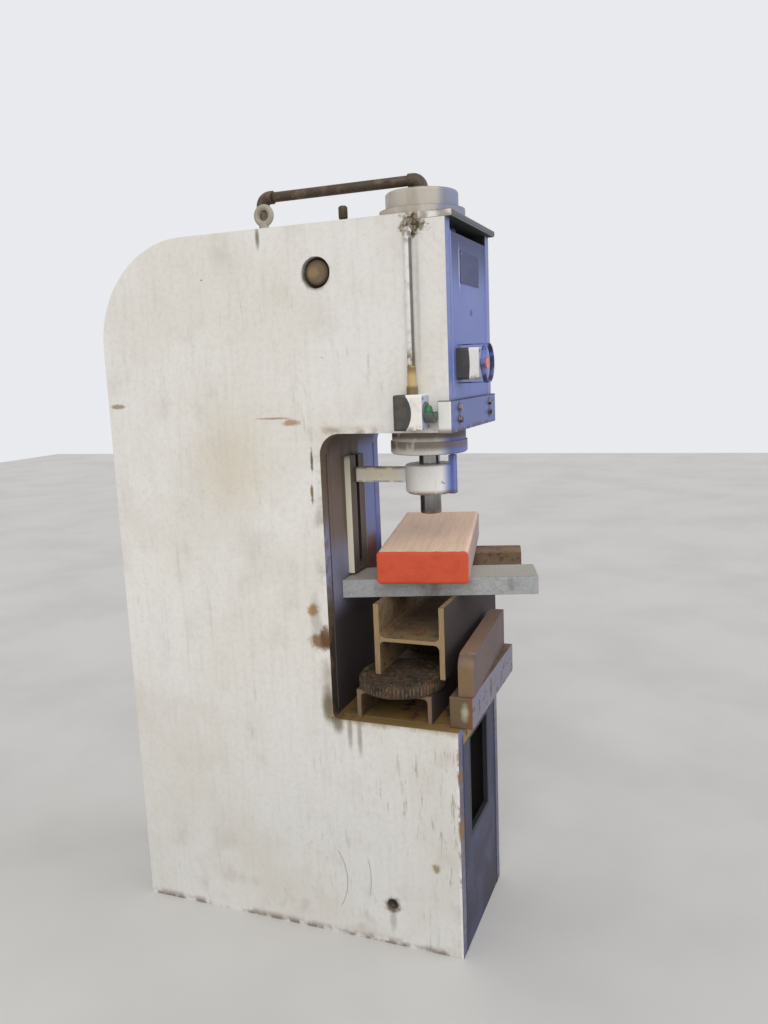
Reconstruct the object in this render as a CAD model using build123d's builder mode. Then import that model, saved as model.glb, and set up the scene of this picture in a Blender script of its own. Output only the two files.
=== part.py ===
from build123d import *

import math
import os

# Hydraulic press: a free-standing C-frame workshop press of 2.1 m, with its work supports.
# Millimetres, +Z up, front towards -Y, origin on the floor under the ram axis.

os.makedirs("parts", exist_ok=True)

# Welded C-frame
frame_height = 2100
frame_width = 440
frame_rear = 954
head_front = -132
plate_thick = 40
throat_depth = 250
throat_radius = 60
throat_foot_radius = 18
rear_radius = 300
table_height = 700
table_thick = 60
head_underside = 1536
head_plate_thick = 50
skin_thick = 12
liner_thick = 20
rib_thick = 20
floor_plate_thick = 25
half_frame = frame_width / 2
half_inner = half_frame - plate_thick

# Head front, top plate and nose block
front_plate_thick = 15
front_gap = 29
top_plate_thick = 18
lip_overhang = 20
lip_rear = -60
top_plate_rear = 300
lip_round = 6
nose_overhang = 18
nose_height = 84
nose_wall = 12
nose_round = 4
nose_proud = 9
nose_bolt_inset = 58
nose_bolt_rows = (22, 53)
nose_bolt_head = 9

# Openings in the frame
window_left = -102
window_right = 86
window_sill = 340
side_port_y = 235
side_port_drop = 129
side_port_radius = 42
floor_port_y = 85
floor_port_z = 133
floor_port_radius = 16

# Cylinder, ram and piston
ram_radius = 31
ram_end = 1284
bore_radius = 70
barrel_radius = 92
barrel_flange_radius = 108
barrel_flange_thick = 36
gland_radius = 112
gland_thick = 37
wiper_radius = 45
wiper_thick = 8
cap_tier_radius = 120
cap_tier_height = 37
cap_radius = 102
cap_height = 50
cap_round = 8
gland_chamfer = 5
spigot_length = 15
piston_thick = 50
piston_drop = 25
piston_stud_radius = 20
seal_groove = 6
seal_width = 10
screw_circle = 81
screw_radius = 6
screw_head_radius = 9
screw_head_height = 12
screw_socket_radius = 5
screw_socket_depth = 6
screw_grip = 60
screw_count = 6
screw_run_out = 6

# Clearances
running_fit = 0.05
slide_fit = 0.1
seat_gap = 0.3
edge_break = 2

# Ram collar, its guide arm and the slotted rail
collar_radius = 72
collar_bottom = 1343
collar_height = 87
collar_foot_round = 14
collar_top_round = 6
arm_height = 43
arm_rise = 32
arm_width = 40
arm_round = 8
ear_width = 32
ear_outer = 80
ear_round = 6
ear_clearance = 8
clamp_slit = 3
tongue_gap = 6
rail_width = 110
rail_thick = 18
rail_slot = 22
rail_drop = 80
rail_clearance = 8
rail_end_web = 30

# Lifting bar, lifting eye and breather
bar_recess = 6
bar_end_radius = 34
bar_end_length = 14
eye_y = 392
eye_ring_radius = 22
eye_rod_radius = 8
eye_stalk = 14
eye_boss_radius = 12
breather_x = -60
breather_y = 215
breather_stem_radius = 11
breather_stem = 32
breather_cap_radius = 13
breather_cap_height = 33
breather_round = 4

# Pipe from the column to the cylinder cap
pipe_radius = 14.5
pipe_bore = 11
riser_setback = 453
elbow_bend = 25
elbow_socket = 12
elbow_wall = 4.5

# Conduit on the left side plate
conduit_radius = 10
conduit_bore = 8
conduit_stand_off = 18
conduit_y = -36
conduit_drop = 42
conduit_bend = 26
conduit_foot = 1713
fitting_radius = 15
fitting_nut = 22
fitting_neck_radius = 12
fitting_lip = 1

# Push-button stations: start on the left side, stop on the head front
station_wall = 4
station_corner = 7
start_width = 64
start_height = 93
start_rise = 56
start_rear = 2
start_base_depth = 32
start_cover_depth = 46
start_bulge = 17
stop_width = 60
stop_height = 84
stop_inset = 100
stop_rise = 93
stop_base_depth = 34
stop_cover_depth = 28
stop_bulge = 3
button_travel = 4
button_round = 2
start_button_radius = 19
start_head_length = 6
stop_stem_radius = 8
stop_head_radius = 16
stop_head_length = 8
start_ring_radius = 28
stop_ring_radius = 18
ring_thick = 4
button_flange = 3
hood_thick = 3.5
hood_clearance = 2
guard_ring_radius = 52
guard_band = 12
guard_thick = 3
guard_y = -216

# Tank, motor and pump in the rear column
tank_setback = 54
tank_length = 480
tank_side_gap = 15
tank_height = 425
tank_wall = 4
tank_corner = 11
tank_lid_thick = 8
motor_radius = 80
motor_setback = 49
motor_length = 200
motor_foot = 40
motor_foot_width = 120
motor_foot_length = 100
terminal_box = 80
terminal_rise = 36
end_shield = 15
fan_cover = 30
fin_count = 20
fin_height = 6
fin_thick = 3
bell_radius = 70
bell_length = 70
bell_wall = 8
bell_window_length = 38
bell_window_height = 70
pump_width = 90
pump_height = 100
pump_length = 60
pump_corner = 12
shaft_radius = 12
shaft_grip = 30
coupling_radius = 28
coupling_half = 18
coupling_gap = 10
valve_width = 120
valve_height = 150
coil_radius = 20
coil_length = 70
coil_rise = 112
suction_radius = 12
suction_clearance = 80
nipple_radius = 9
nipple_rise = 95

# Rear cover
cover_thick = 3
cover_side_margin = 15
cover_top = 1250
cover_foot = 40
cover_corner = 11
louvre_count = 8
louvre_column_pitch = 156
louvre_width = 120
louvre_height = 8
louvre_pitch = 24
cover_screw_radius = 5
cover_screw_rows = 5

# Work supports lying on the table
channel_width = 230
channel_height = 85
channel_length = 600
channel_start = -190
channel_y = 69
channel_flange = 12.5
channel_web = 10
disc_radius = 125
disc_thick = 40
disc_near_x = -120
disc_far_x = 280
disc_y = 66
disc_hole_circle = 92
disc_hole_radius = 10
disc_hole_count = 8
disc_rim = 5
beam_depth = 214
beam_height = 212
beam_length = 600
beam_start = -157
beam_y = 28
beam_flange = 16
beam_web = 11
beam_root = 15
table_bar_height = 55
near_bar_length = 603
near_bar_width = 155
near_bar_turn = 17
near_bar_x = 57
near_bar_y = -306
far_bar_length = 528
far_bar_width = 120
far_bar_turn = 13.5
far_bar_x = 360
far_bar_y = -190
bar_wall_gap = 1
block_length = 685
block_width = 267
block_height = 95.5
block_turn = 12.4
block_x = -110.5
block_y = -4
block_round = 12
block_end_break = 3
front_bar_length = 503
front_bar_start = -192
front_bar_width = 68
front_bar_height = 92
front_bar_overhang = 35
tall_bar_length = 482
tall_bar_width = 46
tall_bar_height = 119
tall_bar_turn = 3.4
tall_bar_x = -180
tall_bar_y = -170
tall_bar_round = 40

# Places worked out from the sizes above
throat_top = head_underside
lip_front = head_front - lip_overhang
lip_underside = frame_height - top_plate_thick
nose_top = head_underside + nose_height
nose_front = head_front - nose_proud
nose_bolt_x = half_frame - nose_bolt_inset
nose_rear = -barrel_radius - nose_wall
flange_bottom = head_underside - barrel_flange_thick
gland_bottom = flange_bottom - gland_thick
cap_tier_top = frame_height + cap_tier_height
cap_top = cap_tier_top + cap_height
cross_pipe_z = cap_top + elbow_bend + elbow_socket
piston_top = frame_height - piston_drop
side_port_z = frame_height - side_port_drop
conduit_top = frame_height - conduit_drop
bar_bottom = table_height + channel_height + disc_thick + beam_height
bar_top = bar_bottom + table_bar_height
rail_front = throat_depth - rail_thick
rail_foot = bar_top + rail_clearance
rail_top = head_underside - rail_drop
tank_half_width = half_inner - tank_side_gap
cover_half_width = half_frame - cover_side_margin
lid_top = floor_plate_thick + tank_height + tank_lid_thick
drive_z = lid_top + motor_foot + motor_radius
motor_front = frame_rear - motor_setback - motor_length
bell_front = motor_front - bell_length
pump_front = bell_front - pump_length
riser_y = frame_rear - riser_setback
valve_rear = riser_y + valve_width / 2
start_x = -half_frame - start_width / 2
stop_x = stop_inset - half_frame
conduit_x = -half_frame - conduit_stand_off
start_z = head_underside + start_rise
stop_z = nose_top + stop_rise
start_front = start_rear - start_base_depth - start_cover_depth
stop_front = head_front - stop_base_depth - stop_cover_depth


def save(part, label):
    """Label a finished piece and write it to its own file."""
    part.label = label
    export_step(part, f"parts/{label}.step")


def corner(sketch, point):
    """The vertex of an open sketch that lies nearest to a point of its plane."""
    return sketch.vertices().sort_by_distance((point[0], point[1], 0))[0]


def bent_plate(front, bend, foot, radius, thick):
    """Face of a plate bent once, seen from the side: level run, bend, upright run.

    The thickness lies above and behind the path, so the bend's outside has the larger radius.
    """
    with BuildSketch() as sketch:
        with BuildLine():
            Polyline(
                (front, bend[1]),
                bend,
                (bend[0], foot),
                (bend[0] + thick, foot),
                (bend[0] + thick, bend[1] + thick),
                (front, bend[1] + thick),
                close=True,
            )
        make_face()
        fillet(corner(sketch, bend), radius)
        fillet(corner(sketch, (bend[0] + thick, bend[1] + thick)), radius + thick)
    return sketch.sketch


# Side plates: one flame-cut outline for both, with the throat, the nose notch and the lip notch
with BuildSketch() as side_outline:
    with BuildLine():
        Polyline(
            (head_front, 0),
            (frame_rear, 0),
            (frame_rear, frame_height),
            (lip_rear, frame_height),
            (lip_rear, lip_underside),
            (head_front, lip_underside),
            (head_front, nose_top),
            (nose_rear, nose_top),
            (nose_rear, throat_top),
            (throat_depth, throat_top),
            (throat_depth, table_height),
            (head_front, table_height),
            close=True,
        )
    make_face()
    fillet(corner(side_outline, (frame_rear, frame_height)), rear_radius)
    fillet(corner(side_outline, (throat_depth, throat_top)), throat_radius)
    fillet(corner(side_outline, (throat_depth, table_height)), throat_foot_radius)
    with Locations((side_port_y, side_port_z)):
        Circle(side_port_radius, mode=Mode.SUBTRACT)

left_face = Plane.YZ.offset(-half_frame)
right_inner_face = Plane.YZ.offset(half_inner)
mid_plane = Plane.YZ

with BuildPart() as side_plate_left:
    with BuildSketch(left_face):
        add(side_outline.sketch)
        with Locations((floor_port_y, floor_port_z)):
            Circle(floor_port_radius, mode=Mode.SUBTRACT)
        with Locations((conduit_y, conduit_top)):
            Circle(conduit_radius + slide_fit, mode=Mode.SUBTRACT)
    extrude(amount=plate_thick)
save(side_plate_left.part, "side_plate_left")

with BuildPart() as side_plate_right:
    with BuildSketch(right_inner_face):
        add(side_outline.sketch)
    extrude(amount=plate_thick)
save(side_plate_right.part, "side_plate_right")

# Throat liner: the plate between the side plates that bends into the head's underside
liner_front = barrel_flange_radius + liner_thick
with BuildPart() as throat_liner:
    with BuildSketch(mid_plane):
        add(
            bent_plate(
                liner_front,
                (throat_depth, throat_top),
                table_height - table_thick,
                throat_radius,
                liner_thick,
            )
        )
    extrude(amount=half_inner, both=True)
save(throat_liner.part, "throat_liner")

# Head: bottom plate that carries the cylinder, front plate, top plate with its lip
with BuildPart() as head_bottom_plate:
    with BuildSketch(Plane.XY.offset(head_underside)):
        with Locations((0, (nose_rear + liner_front) / 2)):
            Rectangle(2 * half_inner, liner_front - nose_rear)
        Circle(barrel_radius + seat_gap, mode=Mode.SUBTRACT)
    extrude(amount=head_plate_thick)
save(head_bottom_plate.part, "head_bottom_plate")

front_plate_top = lip_underside - front_gap
with BuildPart() as head_front_plate:
    with BuildSketch(Plane.XZ.offset(-head_front)):
        with Locations((0, (nose_top + front_plate_top) / 2)):
            Rectangle(2 * half_inner, front_plate_top - nose_top)
    extrude(amount=-front_plate_thick)
save(head_front_plate.part, "head_front_plate")

with BuildPart() as top_plate:
    with BuildSketch(Plane.XY.offset(lip_underside)):
        with Locations((0, (lip_front + lip_rear) / 2)):
            Rectangle(frame_width, lip_rear - lip_front)
        with Locations((0, (lip_rear + top_plate_rear) / 2)):
            Rectangle(2 * half_inner, top_plate_rear - lip_rear)
        Circle(barrel_radius + seat_gap, mode=Mode.SUBTRACT)
    extrude(amount=top_plate_thick)
    with BuildSketch(Plane.XY.offset(lip_underside)):
        with Locations((breather_x, breather_y)):
            Circle(breather_stem_radius)
    extrude(amount=top_plate_thick, mode=Mode.SUBTRACT)
    front_edges = top_plate.edges().filter_by(Axis.X).group_by(Axis.Y)[0]
    fillet(front_edges, lip_round)
save(top_plate.part, "top_plate")

# Back skin: from the top plate over the rear bend down to the rear cover
with BuildPart() as back_skin:
    with BuildSketch(mid_plane):
        add(
            bent_plate(
                top_plate_rear,
                (frame_rear - skin_thick, frame_height - skin_thick),
                cover_top,
                rear_radius - skin_thick,
                skin_thick,
            )
        )
    extrude(amount=half_inner, both=True)
    with BuildSketch(Plane.XY.offset(frame_height - skin_thick)):
        with Locations((0, riser_y)):
            Circle(pipe_radius + seat_gap)
    extrude(amount=skin_thick, mode=Mode.SUBTRACT)
save(back_skin.part, "back_skin")

# Base: table, front plate with its window, floor plate and the two ribs
with BuildPart() as table_plate:
    with BuildSketch(Plane.XY.offset(table_height - table_thick)):
        with Locations((0, (head_front + throat_depth) / 2)):
            Rectangle(2 * half_inner, throat_depth - head_front)
    extrude(amount=table_thick)
save(table_plate.part, "table_plate")

window_top = table_height - table_thick
with BuildPart() as base_front_plate:
    with BuildSketch(Plane.XZ.offset(-head_front)):
        with Locations((0, window_top / 2)):
            Rectangle(2 * half_inner, window_top)
        with Locations(((window_left + window_right) / 2, (window_sill + window_top) / 2)):
            Rectangle(window_right - window_left, window_top - window_sill, mode=Mode.SUBTRACT)
    extrude(amount=-front_plate_thick)
save(base_front_plate.part, "base_front_plate")

floor_front = head_front + front_plate_thick
with BuildPart() as floor_plate:
    with BuildSketch():
        with Locations((0, (floor_front + frame_rear) / 2)):
            Rectangle(2 * half_inner, frame_rear - floor_front)
    extrude(amount=floor_plate_thick)
save(floor_plate.part, "floor_plate")

with BuildPart() as base_rib:
    with BuildSketch(Plane.XY.offset(floor_plate_thick)):
        with Locations((0, throat_depth + liner_thick + rib_thick / 2)):
            Rectangle(2 * half_inner, rib_thick)
    extrude(amount=table_height - floor_plate_thick)
save(base_rib.part, "base_rib")

head_rib_y = liner_front + rib_thick / 2
head_rib_foot = head_underside + liner_thick
with BuildPart() as head_rib:
    with BuildSketch(Plane.XY.offset(head_rib_foot)):
        with Locations((0, head_rib_y)):
            Rectangle(2 * half_inner, rib_thick)
    extrude(amount=lip_underside - head_rib_foot)
save(head_rib.part, "head_rib")

# Nose block across the head's lower front, with its four bolts
with BuildPart() as nose_block:
    with BuildSketch(Plane.XY.offset(head_underside)):
        with Locations((0, (nose_front + nose_rear) / 2)):
            Rectangle(frame_width + 2 * nose_overhang, nose_rear - nose_front)
    extrude(amount=nose_height)
    fillet(nose_block.edges().filter_by(Axis.Z), nose_round)
    with BuildSketch(Plane.XZ.offset(-nose_front)):
        for row in nose_bolt_rows:
            with Locations((0, nose_top - row)):
                with GridLocations(2 * nose_bolt_x, 1, 2, 1):
                    Circle(screw_radius)
    extrude(amount=nose_front - nose_rear, mode=Mode.SUBTRACT)
save(nose_block.part, "nose_block")

with BuildPart() as nose_bolts:
    for row in nose_bolt_rows:
        with BuildSketch(Plane.XZ.offset(-nose_front)):
            with Locations((0, nose_top - row)):
                with GridLocations(2 * nose_bolt_x, 1, 2, 1):
                    RegularPolygon(screw_head_radius, 6)
        extrude(amount=nose_bolt_head)
        with BuildSketch(Plane.XZ.offset(-nose_front)):
            with Locations((0, nose_top - row)):
                with GridLocations(2 * nose_bolt_x, 1, 2, 1):
                    Circle(screw_radius - slide_fit)
        extrude(amount=nose_front - nose_rear)
save(nose_bolts.part, "nose_bolts")

# Lifting bar through both side plates, with stepped and domed ends
bar_half = half_frame - bar_recess
with BuildPart() as lifting_bar:
    with BuildSketch(Plane.YZ.offset(-bar_half + bar_end_length)):
        with Locations((side_port_y, side_port_z)):
            Circle(side_port_radius - running_fit)
    extrude(amount=2 * (bar_half - bar_end_length))
    with BuildSketch(Plane.YZ.offset(-bar_half)):
        with Locations((side_port_y, side_port_z)):
            Circle(bar_end_radius)
    extrude(amount=2 * bar_half)
    fillet(lifting_bar.edges().group_by(Axis.X)[0], bar_recess)
    fillet(lifting_bar.edges().group_by(Axis.X)[-1], bar_recess)
save(lifting_bar.part, "lifting_bar")

# Cylinder: barrel with its bottom flange, screwed up against the head's bottom plate
with BuildPart() as cylinder_barrel:
    with BuildSketch(Plane.XY.offset(flange_bottom)):
        Circle(barrel_flange_radius)
    extrude(amount=barrel_flange_thick)
    with BuildSketch(Plane.XY.offset(head_underside)):
        Circle(barrel_radius)
    extrude(amount=frame_height - head_underside)
    with BuildSketch(Plane.XY.offset(flange_bottom)):
        Circle(bore_radius)
    extrude(amount=frame_height - flange_bottom, mode=Mode.SUBTRACT)
    for face_z in (flange_bottom, frame_height - screw_grip):
        with BuildSketch(Plane.XY.offset(face_z)):
            with PolarLocations(screw_circle, screw_count):
                Circle(screw_radius + slide_fit)
        extrude(amount=screw_grip, mode=Mode.SUBTRACT)
save(cylinder_barrel.part, "cylinder_barrel")

# Gland: guides the ram, holds the wiper and closes the barrel from below
with BuildPart() as cylinder_gland:
    with BuildSketch(Plane.XY.offset(gland_bottom)):
        Circle(gland_radius)
    extrude(amount=gland_thick)
    with BuildSketch(Plane.XY.offset(flange_bottom)):
        Circle(bore_radius - running_fit)
    extrude(amount=spigot_length)
    chamfer(cylinder_gland.edges().group_by(Axis.Z)[0], gland_chamfer)
    with BuildSketch(Plane.XY.offset(gland_bottom)):
        Circle(ram_radius + running_fit)
    extrude(amount=gland_thick + spigot_length, mode=Mode.SUBTRACT)
    with BuildSketch(Plane.XY.offset(gland_bottom)):
        Circle(wiper_radius)
    extrude(amount=wiper_thick, mode=Mode.SUBTRACT)
    with BuildSketch(Plane.XY.offset(gland_bottom)):
        with PolarLocations(screw_circle, screw_count):
            Circle(screw_radius + slide_fit)
    extrude(amount=gland_thick, mode=Mode.SUBTRACT)
    with BuildSketch(Plane.XY.offset(gland_bottom)):
        with PolarLocations(screw_circle, screw_count):
            Circle(screw_head_radius + slide_fit)
    extrude(amount=screw_head_height, mode=Mode.SUBTRACT)
save(cylinder_gland.part, "cylinder_gland")

with BuildPart() as rod_wiper:
    with BuildSketch(Plane.XY.offset(gland_bottom)):
        Circle(wiper_radius - running_fit)
        Circle(ram_radius + slide_fit, mode=Mode.SUBTRACT)
    extrude(amount=wiper_thick)
save(rod_wiper.part, "rod_wiper")


def socket_screws(head_z, grip, label):
    """A ring of socket-head screws: heads at head_z, shanks reaching up for a positive grip."""
    head = math.copysign(screw_head_height, grip)
    with BuildPart() as screws:
        with BuildSketch(Plane.XY.offset(head_z)):
            with PolarLocations(screw_circle, screw_count):
                Circle(screw_head_radius)
        extrude(amount=head)
        with BuildSketch(Plane.XY.offset(head_z)):
            with PolarLocations(screw_circle, screw_count):
                Circle(screw_radius)
        extrude(amount=grip)
        with BuildSketch(Plane.XY.offset(head_z)):
            with PolarLocations(screw_circle, screw_count):
                RegularPolygon(screw_socket_radius, 6)
        extrude(amount=math.copysign(screw_socket_depth, grip), mode=Mode.SUBTRACT)
    save(screws.part, label)


socket_screws(gland_bottom, gland_thick + screw_grip - screw_run_out, "gland_screws")

# Cap in two tiers above the top plate, with the pipe port in its middle
with BuildPart() as cylinder_cap:
    with BuildSketch(Plane.XY.offset(frame_height)):
        Circle(cap_tier_radius)
    extrude(amount=cap_tier_height)
    with BuildSketch(Plane.XY.offset(cap_tier_top)):
        Circle(cap_radius)
    extrude(amount=cap_height)
    fillet(cylinder_cap.edges().group_by(Axis.Z)[-1], cap_round)
    with BuildSketch(Plane.XY.offset(frame_height)):
        Circle(bore_radius - running_fit)
    extrude(amount=-spigot_length)
    with BuildSketch(Plane.XY.offset(frame_height - spigot_length)):
        Circle(pipe_bore)
    extrude(amount=spigot_length + cap_tier_height + cap_height, mode=Mode.SUBTRACT)
    with BuildSketch(Plane.XY.offset(frame_height)):
        with PolarLocations(screw_circle, screw_count):
            Circle(screw_radius + slide_fit)
    extrude(amount=cap_tier_height + cap_height, mode=Mode.SUBTRACT)
    with BuildSketch(Plane.XY.offset(cap_top)):
        with PolarLocations(screw_circle, screw_count):
            Circle(screw_head_radius + slide_fit)
    extrude(amount=-screw_head_height, mode=Mode.SUBTRACT)
save(cylinder_cap.part, "cylinder_cap")

socket_screws(cap_top, frame_height - screw_grip + screw_run_out - cap_top, "cap_screws")

# Piston on the ram's top stud, with its seal ring
piston_bottom = piston_top - piston_thick
seal_z = piston_bottom + (piston_thick - seal_width) / 2
with BuildPart() as piston:
    with BuildSketch(Plane.XY.offset(piston_bottom)):
        Circle(bore_radius - running_fit)
        Circle(piston_stud_radius + running_fit, mode=Mode.SUBTRACT)
    extrude(amount=piston_thick)
    with BuildSketch(Plane.XY.offset(seal_z)):
        Circle(bore_radius)
        Circle(bore_radius - seal_groove, mode=Mode.SUBTRACT)
    extrude(amount=seal_width, mode=Mode.SUBTRACT)
save(piston.part, "piston")

with BuildPart() as piston_seal:
    with BuildSketch(Plane.XY.offset(seal_z)):
        Circle(bore_radius - running_fit)
        Circle(bore_radius - seal_groove, mode=Mode.SUBTRACT)
    extrude(amount=seal_width)
save(piston_seal.part, "piston_seal")

with BuildPart() as ram:
    with BuildSketch(Plane.XY.offset(ram_end)):
        Circle(ram_radius)
    extrude(amount=piston_bottom - ram_end)
    with BuildSketch(Plane.XY.offset(piston_bottom)):
        Circle(piston_stud_radius)
    extrude(amount=piston_thick)
    chamfer(ram.edges().group_by(Axis.Z)[0], edge_break)
save(ram.part, "ram")

# Ram collar: split clamp with an ear in front and a guide arm that runs in the rail's slot
arm_z = collar_bottom + arm_rise
tongue_width = rail_slot - 2 * slide_fit
arm_end = rail_front - 2 * seat_gap
tongue_root = arm_end - arm_round
tongue_end = throat_depth - tongue_gap
ear_inner = 2 * ram_radius
ear_top = gland_bottom - ear_clearance
with BuildPart() as ram_collar:
    with BuildSketch(Plane.XY.offset(collar_bottom)):
        Circle(collar_radius)
    extrude(amount=collar_height)
    fillet(ram_collar.edges().group_by(Axis.Z)[0], collar_foot_round)
    fillet(ram_collar.edges().group_by(Axis.Z)[-1], collar_top_round)
    with BuildSketch(Plane.XY.offset(arm_z)) as arm_plan:
        with Locations((0, arm_end / 2)):
            Rectangle(arm_width, arm_end)
        fillet(arm_plan.vertices().group_by(Axis.Y)[-1], arm_round)
        with Locations((0, (tongue_root + tongue_end) / 2)):
            Rectangle(tongue_width, tongue_end - tongue_root)
    extrude(amount=arm_height)
    with BuildSketch(Plane.XY.offset(collar_bottom)) as ear_plan:
        with Locations((0, -(ear_outer + ear_inner) / 2)):
            Rectangle(ear_width, ear_outer - ear_inner)
        fillet(ear_plan.vertices().group_by(Axis.Y)[0], ear_round)
    extrude(amount=ear_top - collar_bottom)
    with BuildSketch(Plane.XY.offset(collar_bottom)):
        Circle(ram_radius + running_fit)
    extrude(amount=collar_height, mode=Mode.SUBTRACT)
    with BuildSketch(Plane.XY.offset(collar_bottom)):
        with Locations((0, -ear_outer / 2)):
            Rectangle(clamp_slit, ear_outer + clamp_slit)
    extrude(amount=ear_top - collar_bottom, mode=Mode.SUBTRACT)
save(ram_collar.part, "ram_collar")

# Guide rail on the throat liner: a flat bar with a slot right through, rounded at the top
with BuildPart() as guide_rail:
    with BuildSketch(Plane.XZ.offset(-rail_front)) as rail_face:
        with Locations((0, (rail_foot + rail_top) / 2)):
            Rectangle(rail_width, rail_top - rail_foot)
        fillet(rail_face.vertices().group_by(Axis.Y)[-1], rail_slot / 2)
        with Locations((0, (rail_foot + rail_top) / 2 + rail_end_web)):
            Rectangle(rail_slot, rail_top - rail_foot, mode=Mode.SUBTRACT)
    extrude(amount=-rail_thick)
save(guide_rail.part, "guide_rail")

# Lifting eye on the left side plate's top edge
eye_z = frame_height + eye_stalk + eye_ring_radius
eye_x = -half_frame + plate_thick / 2
with BuildPart() as lifting_eye:
    with BuildSketch(Plane.XY.offset(frame_height)):
        with Locations((eye_x, eye_y)):
            Circle(eye_boss_radius)
    extrude(amount=eye_stalk)
    ring_plane = Plane(origin=(eye_x, eye_y, eye_z), z_dir=(1, 0, 0))
    with BuildLine(ring_plane) as ring_path:
        CenterArc((0, 0), eye_ring_radius, 0, 360)
    with BuildSketch(Plane(origin=ring_path.line @ 0, z_dir=ring_path.line % 0)):
        Circle(eye_rod_radius)
    sweep(path=ring_path.line)
save(lifting_eye.part, "lifting_eye")

# Breather in the top plate
with BuildPart() as breather:
    with BuildSketch(Plane.XY.offset(lip_underside)):
        with Locations((breather_x, breather_y)):
            Circle(breather_stem_radius - running_fit)
    extrude(amount=top_plate_thick + breather_stem)
    with BuildSketch(Plane.XY.offset(frame_height + breather_stem)):
        with Locations((breather_x, breather_y)):
            Circle(breather_cap_radius)
    extrude(amount=breather_cap_height)
    chamfer(breather.edges().group_by(Axis.Z)[-1], breather_round)
save(breather.part, "breather")

# Pipe run: riser through the top skin, cross pipe to the cap, and an elbow at each end
elbow_radius = pipe_radius + elbow_wall
riser_top = cross_pipe_z - elbow_bend
cross_front = elbow_bend
cross_rear = riser_y - elbow_bend


with BuildPart() as pipe_elbows:
    for y, side in ((riser_y, -1), (0, 1)):
        with BuildLine(Plane.YZ) as elbow_path:
            FilletPolyline(
                (y + side * (elbow_bend + elbow_socket), cross_pipe_z),
                (y, cross_pipe_z),
                (y, cross_pipe_z - elbow_bend - elbow_socket),
                radius=elbow_bend,
            )
        with BuildSketch(Plane(origin=elbow_path.line @ 0, z_dir=elbow_path.line % 0)):
            Circle(elbow_radius)
            Circle(pipe_radius + running_fit, mode=Mode.SUBTRACT)
        sweep(path=elbow_path.line)
save(pipe_elbows.part, "pipe_elbows")

valve_top = lid_top + valve_height
with BuildPart() as riser_pipe:
    with BuildSketch(Plane.XY.offset(valve_top)):
        with Locations((0, riser_y)):
            Circle(pipe_radius)
            Circle(pipe_bore, mode=Mode.SUBTRACT)
    extrude(amount=riser_top - valve_top)
save(riser_pipe.part, "riser_pipe")

with BuildPart() as cross_pipe:
    with BuildSketch(Plane.XZ.offset(-cross_rear)):
        with Locations((0, cross_pipe_z)):
            Circle(pipe_radius)
            Circle(pipe_bore, mode=Mode.SUBTRACT)
    extrude(amount=cross_rear - cross_front)
save(cross_pipe.part, "cross_pipe")

# Conduit: up the left side plate from the start station, bending into the plate near the top
with BuildPart() as conduit:
    with BuildLine(Plane.XZ.offset(-conduit_y)) as conduit_path:
        FilletPolyline(
            (conduit_x, conduit_foot),
            (conduit_x, conduit_top),
            (-half_inner, conduit_top),
            radius=conduit_bend - conduit_radius,
        )
    with BuildSketch(Plane(origin=conduit_path.line @ 0, z_dir=conduit_path.line % 0)):
        Circle(conduit_radius)
        Circle(conduit_bore, mode=Mode.SUBTRACT)
    sweep(path=conduit_path.line)
save(conduit.part, "conduit")

start_top = start_z + start_height / 2
with BuildPart() as conduit_gland:
    with BuildSketch(Plane.XY.offset(start_top)):
        with Locations((conduit_x, conduit_y)):
            RegularPolygon(fitting_radius, 6)
    extrude(amount=fitting_nut)
    with BuildSketch(Plane.XY.offset(start_top + fitting_nut)):
        with Locations((conduit_x, conduit_y)):
            Circle(fitting_neck_radius)
    with BuildSketch(Plane.XY.offset(conduit_foot)):
        with Locations((conduit_x, conduit_y)):
            Circle(conduit_radius + fitting_lip)
    loft()
save(conduit_gland.part, "conduit_gland")


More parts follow.
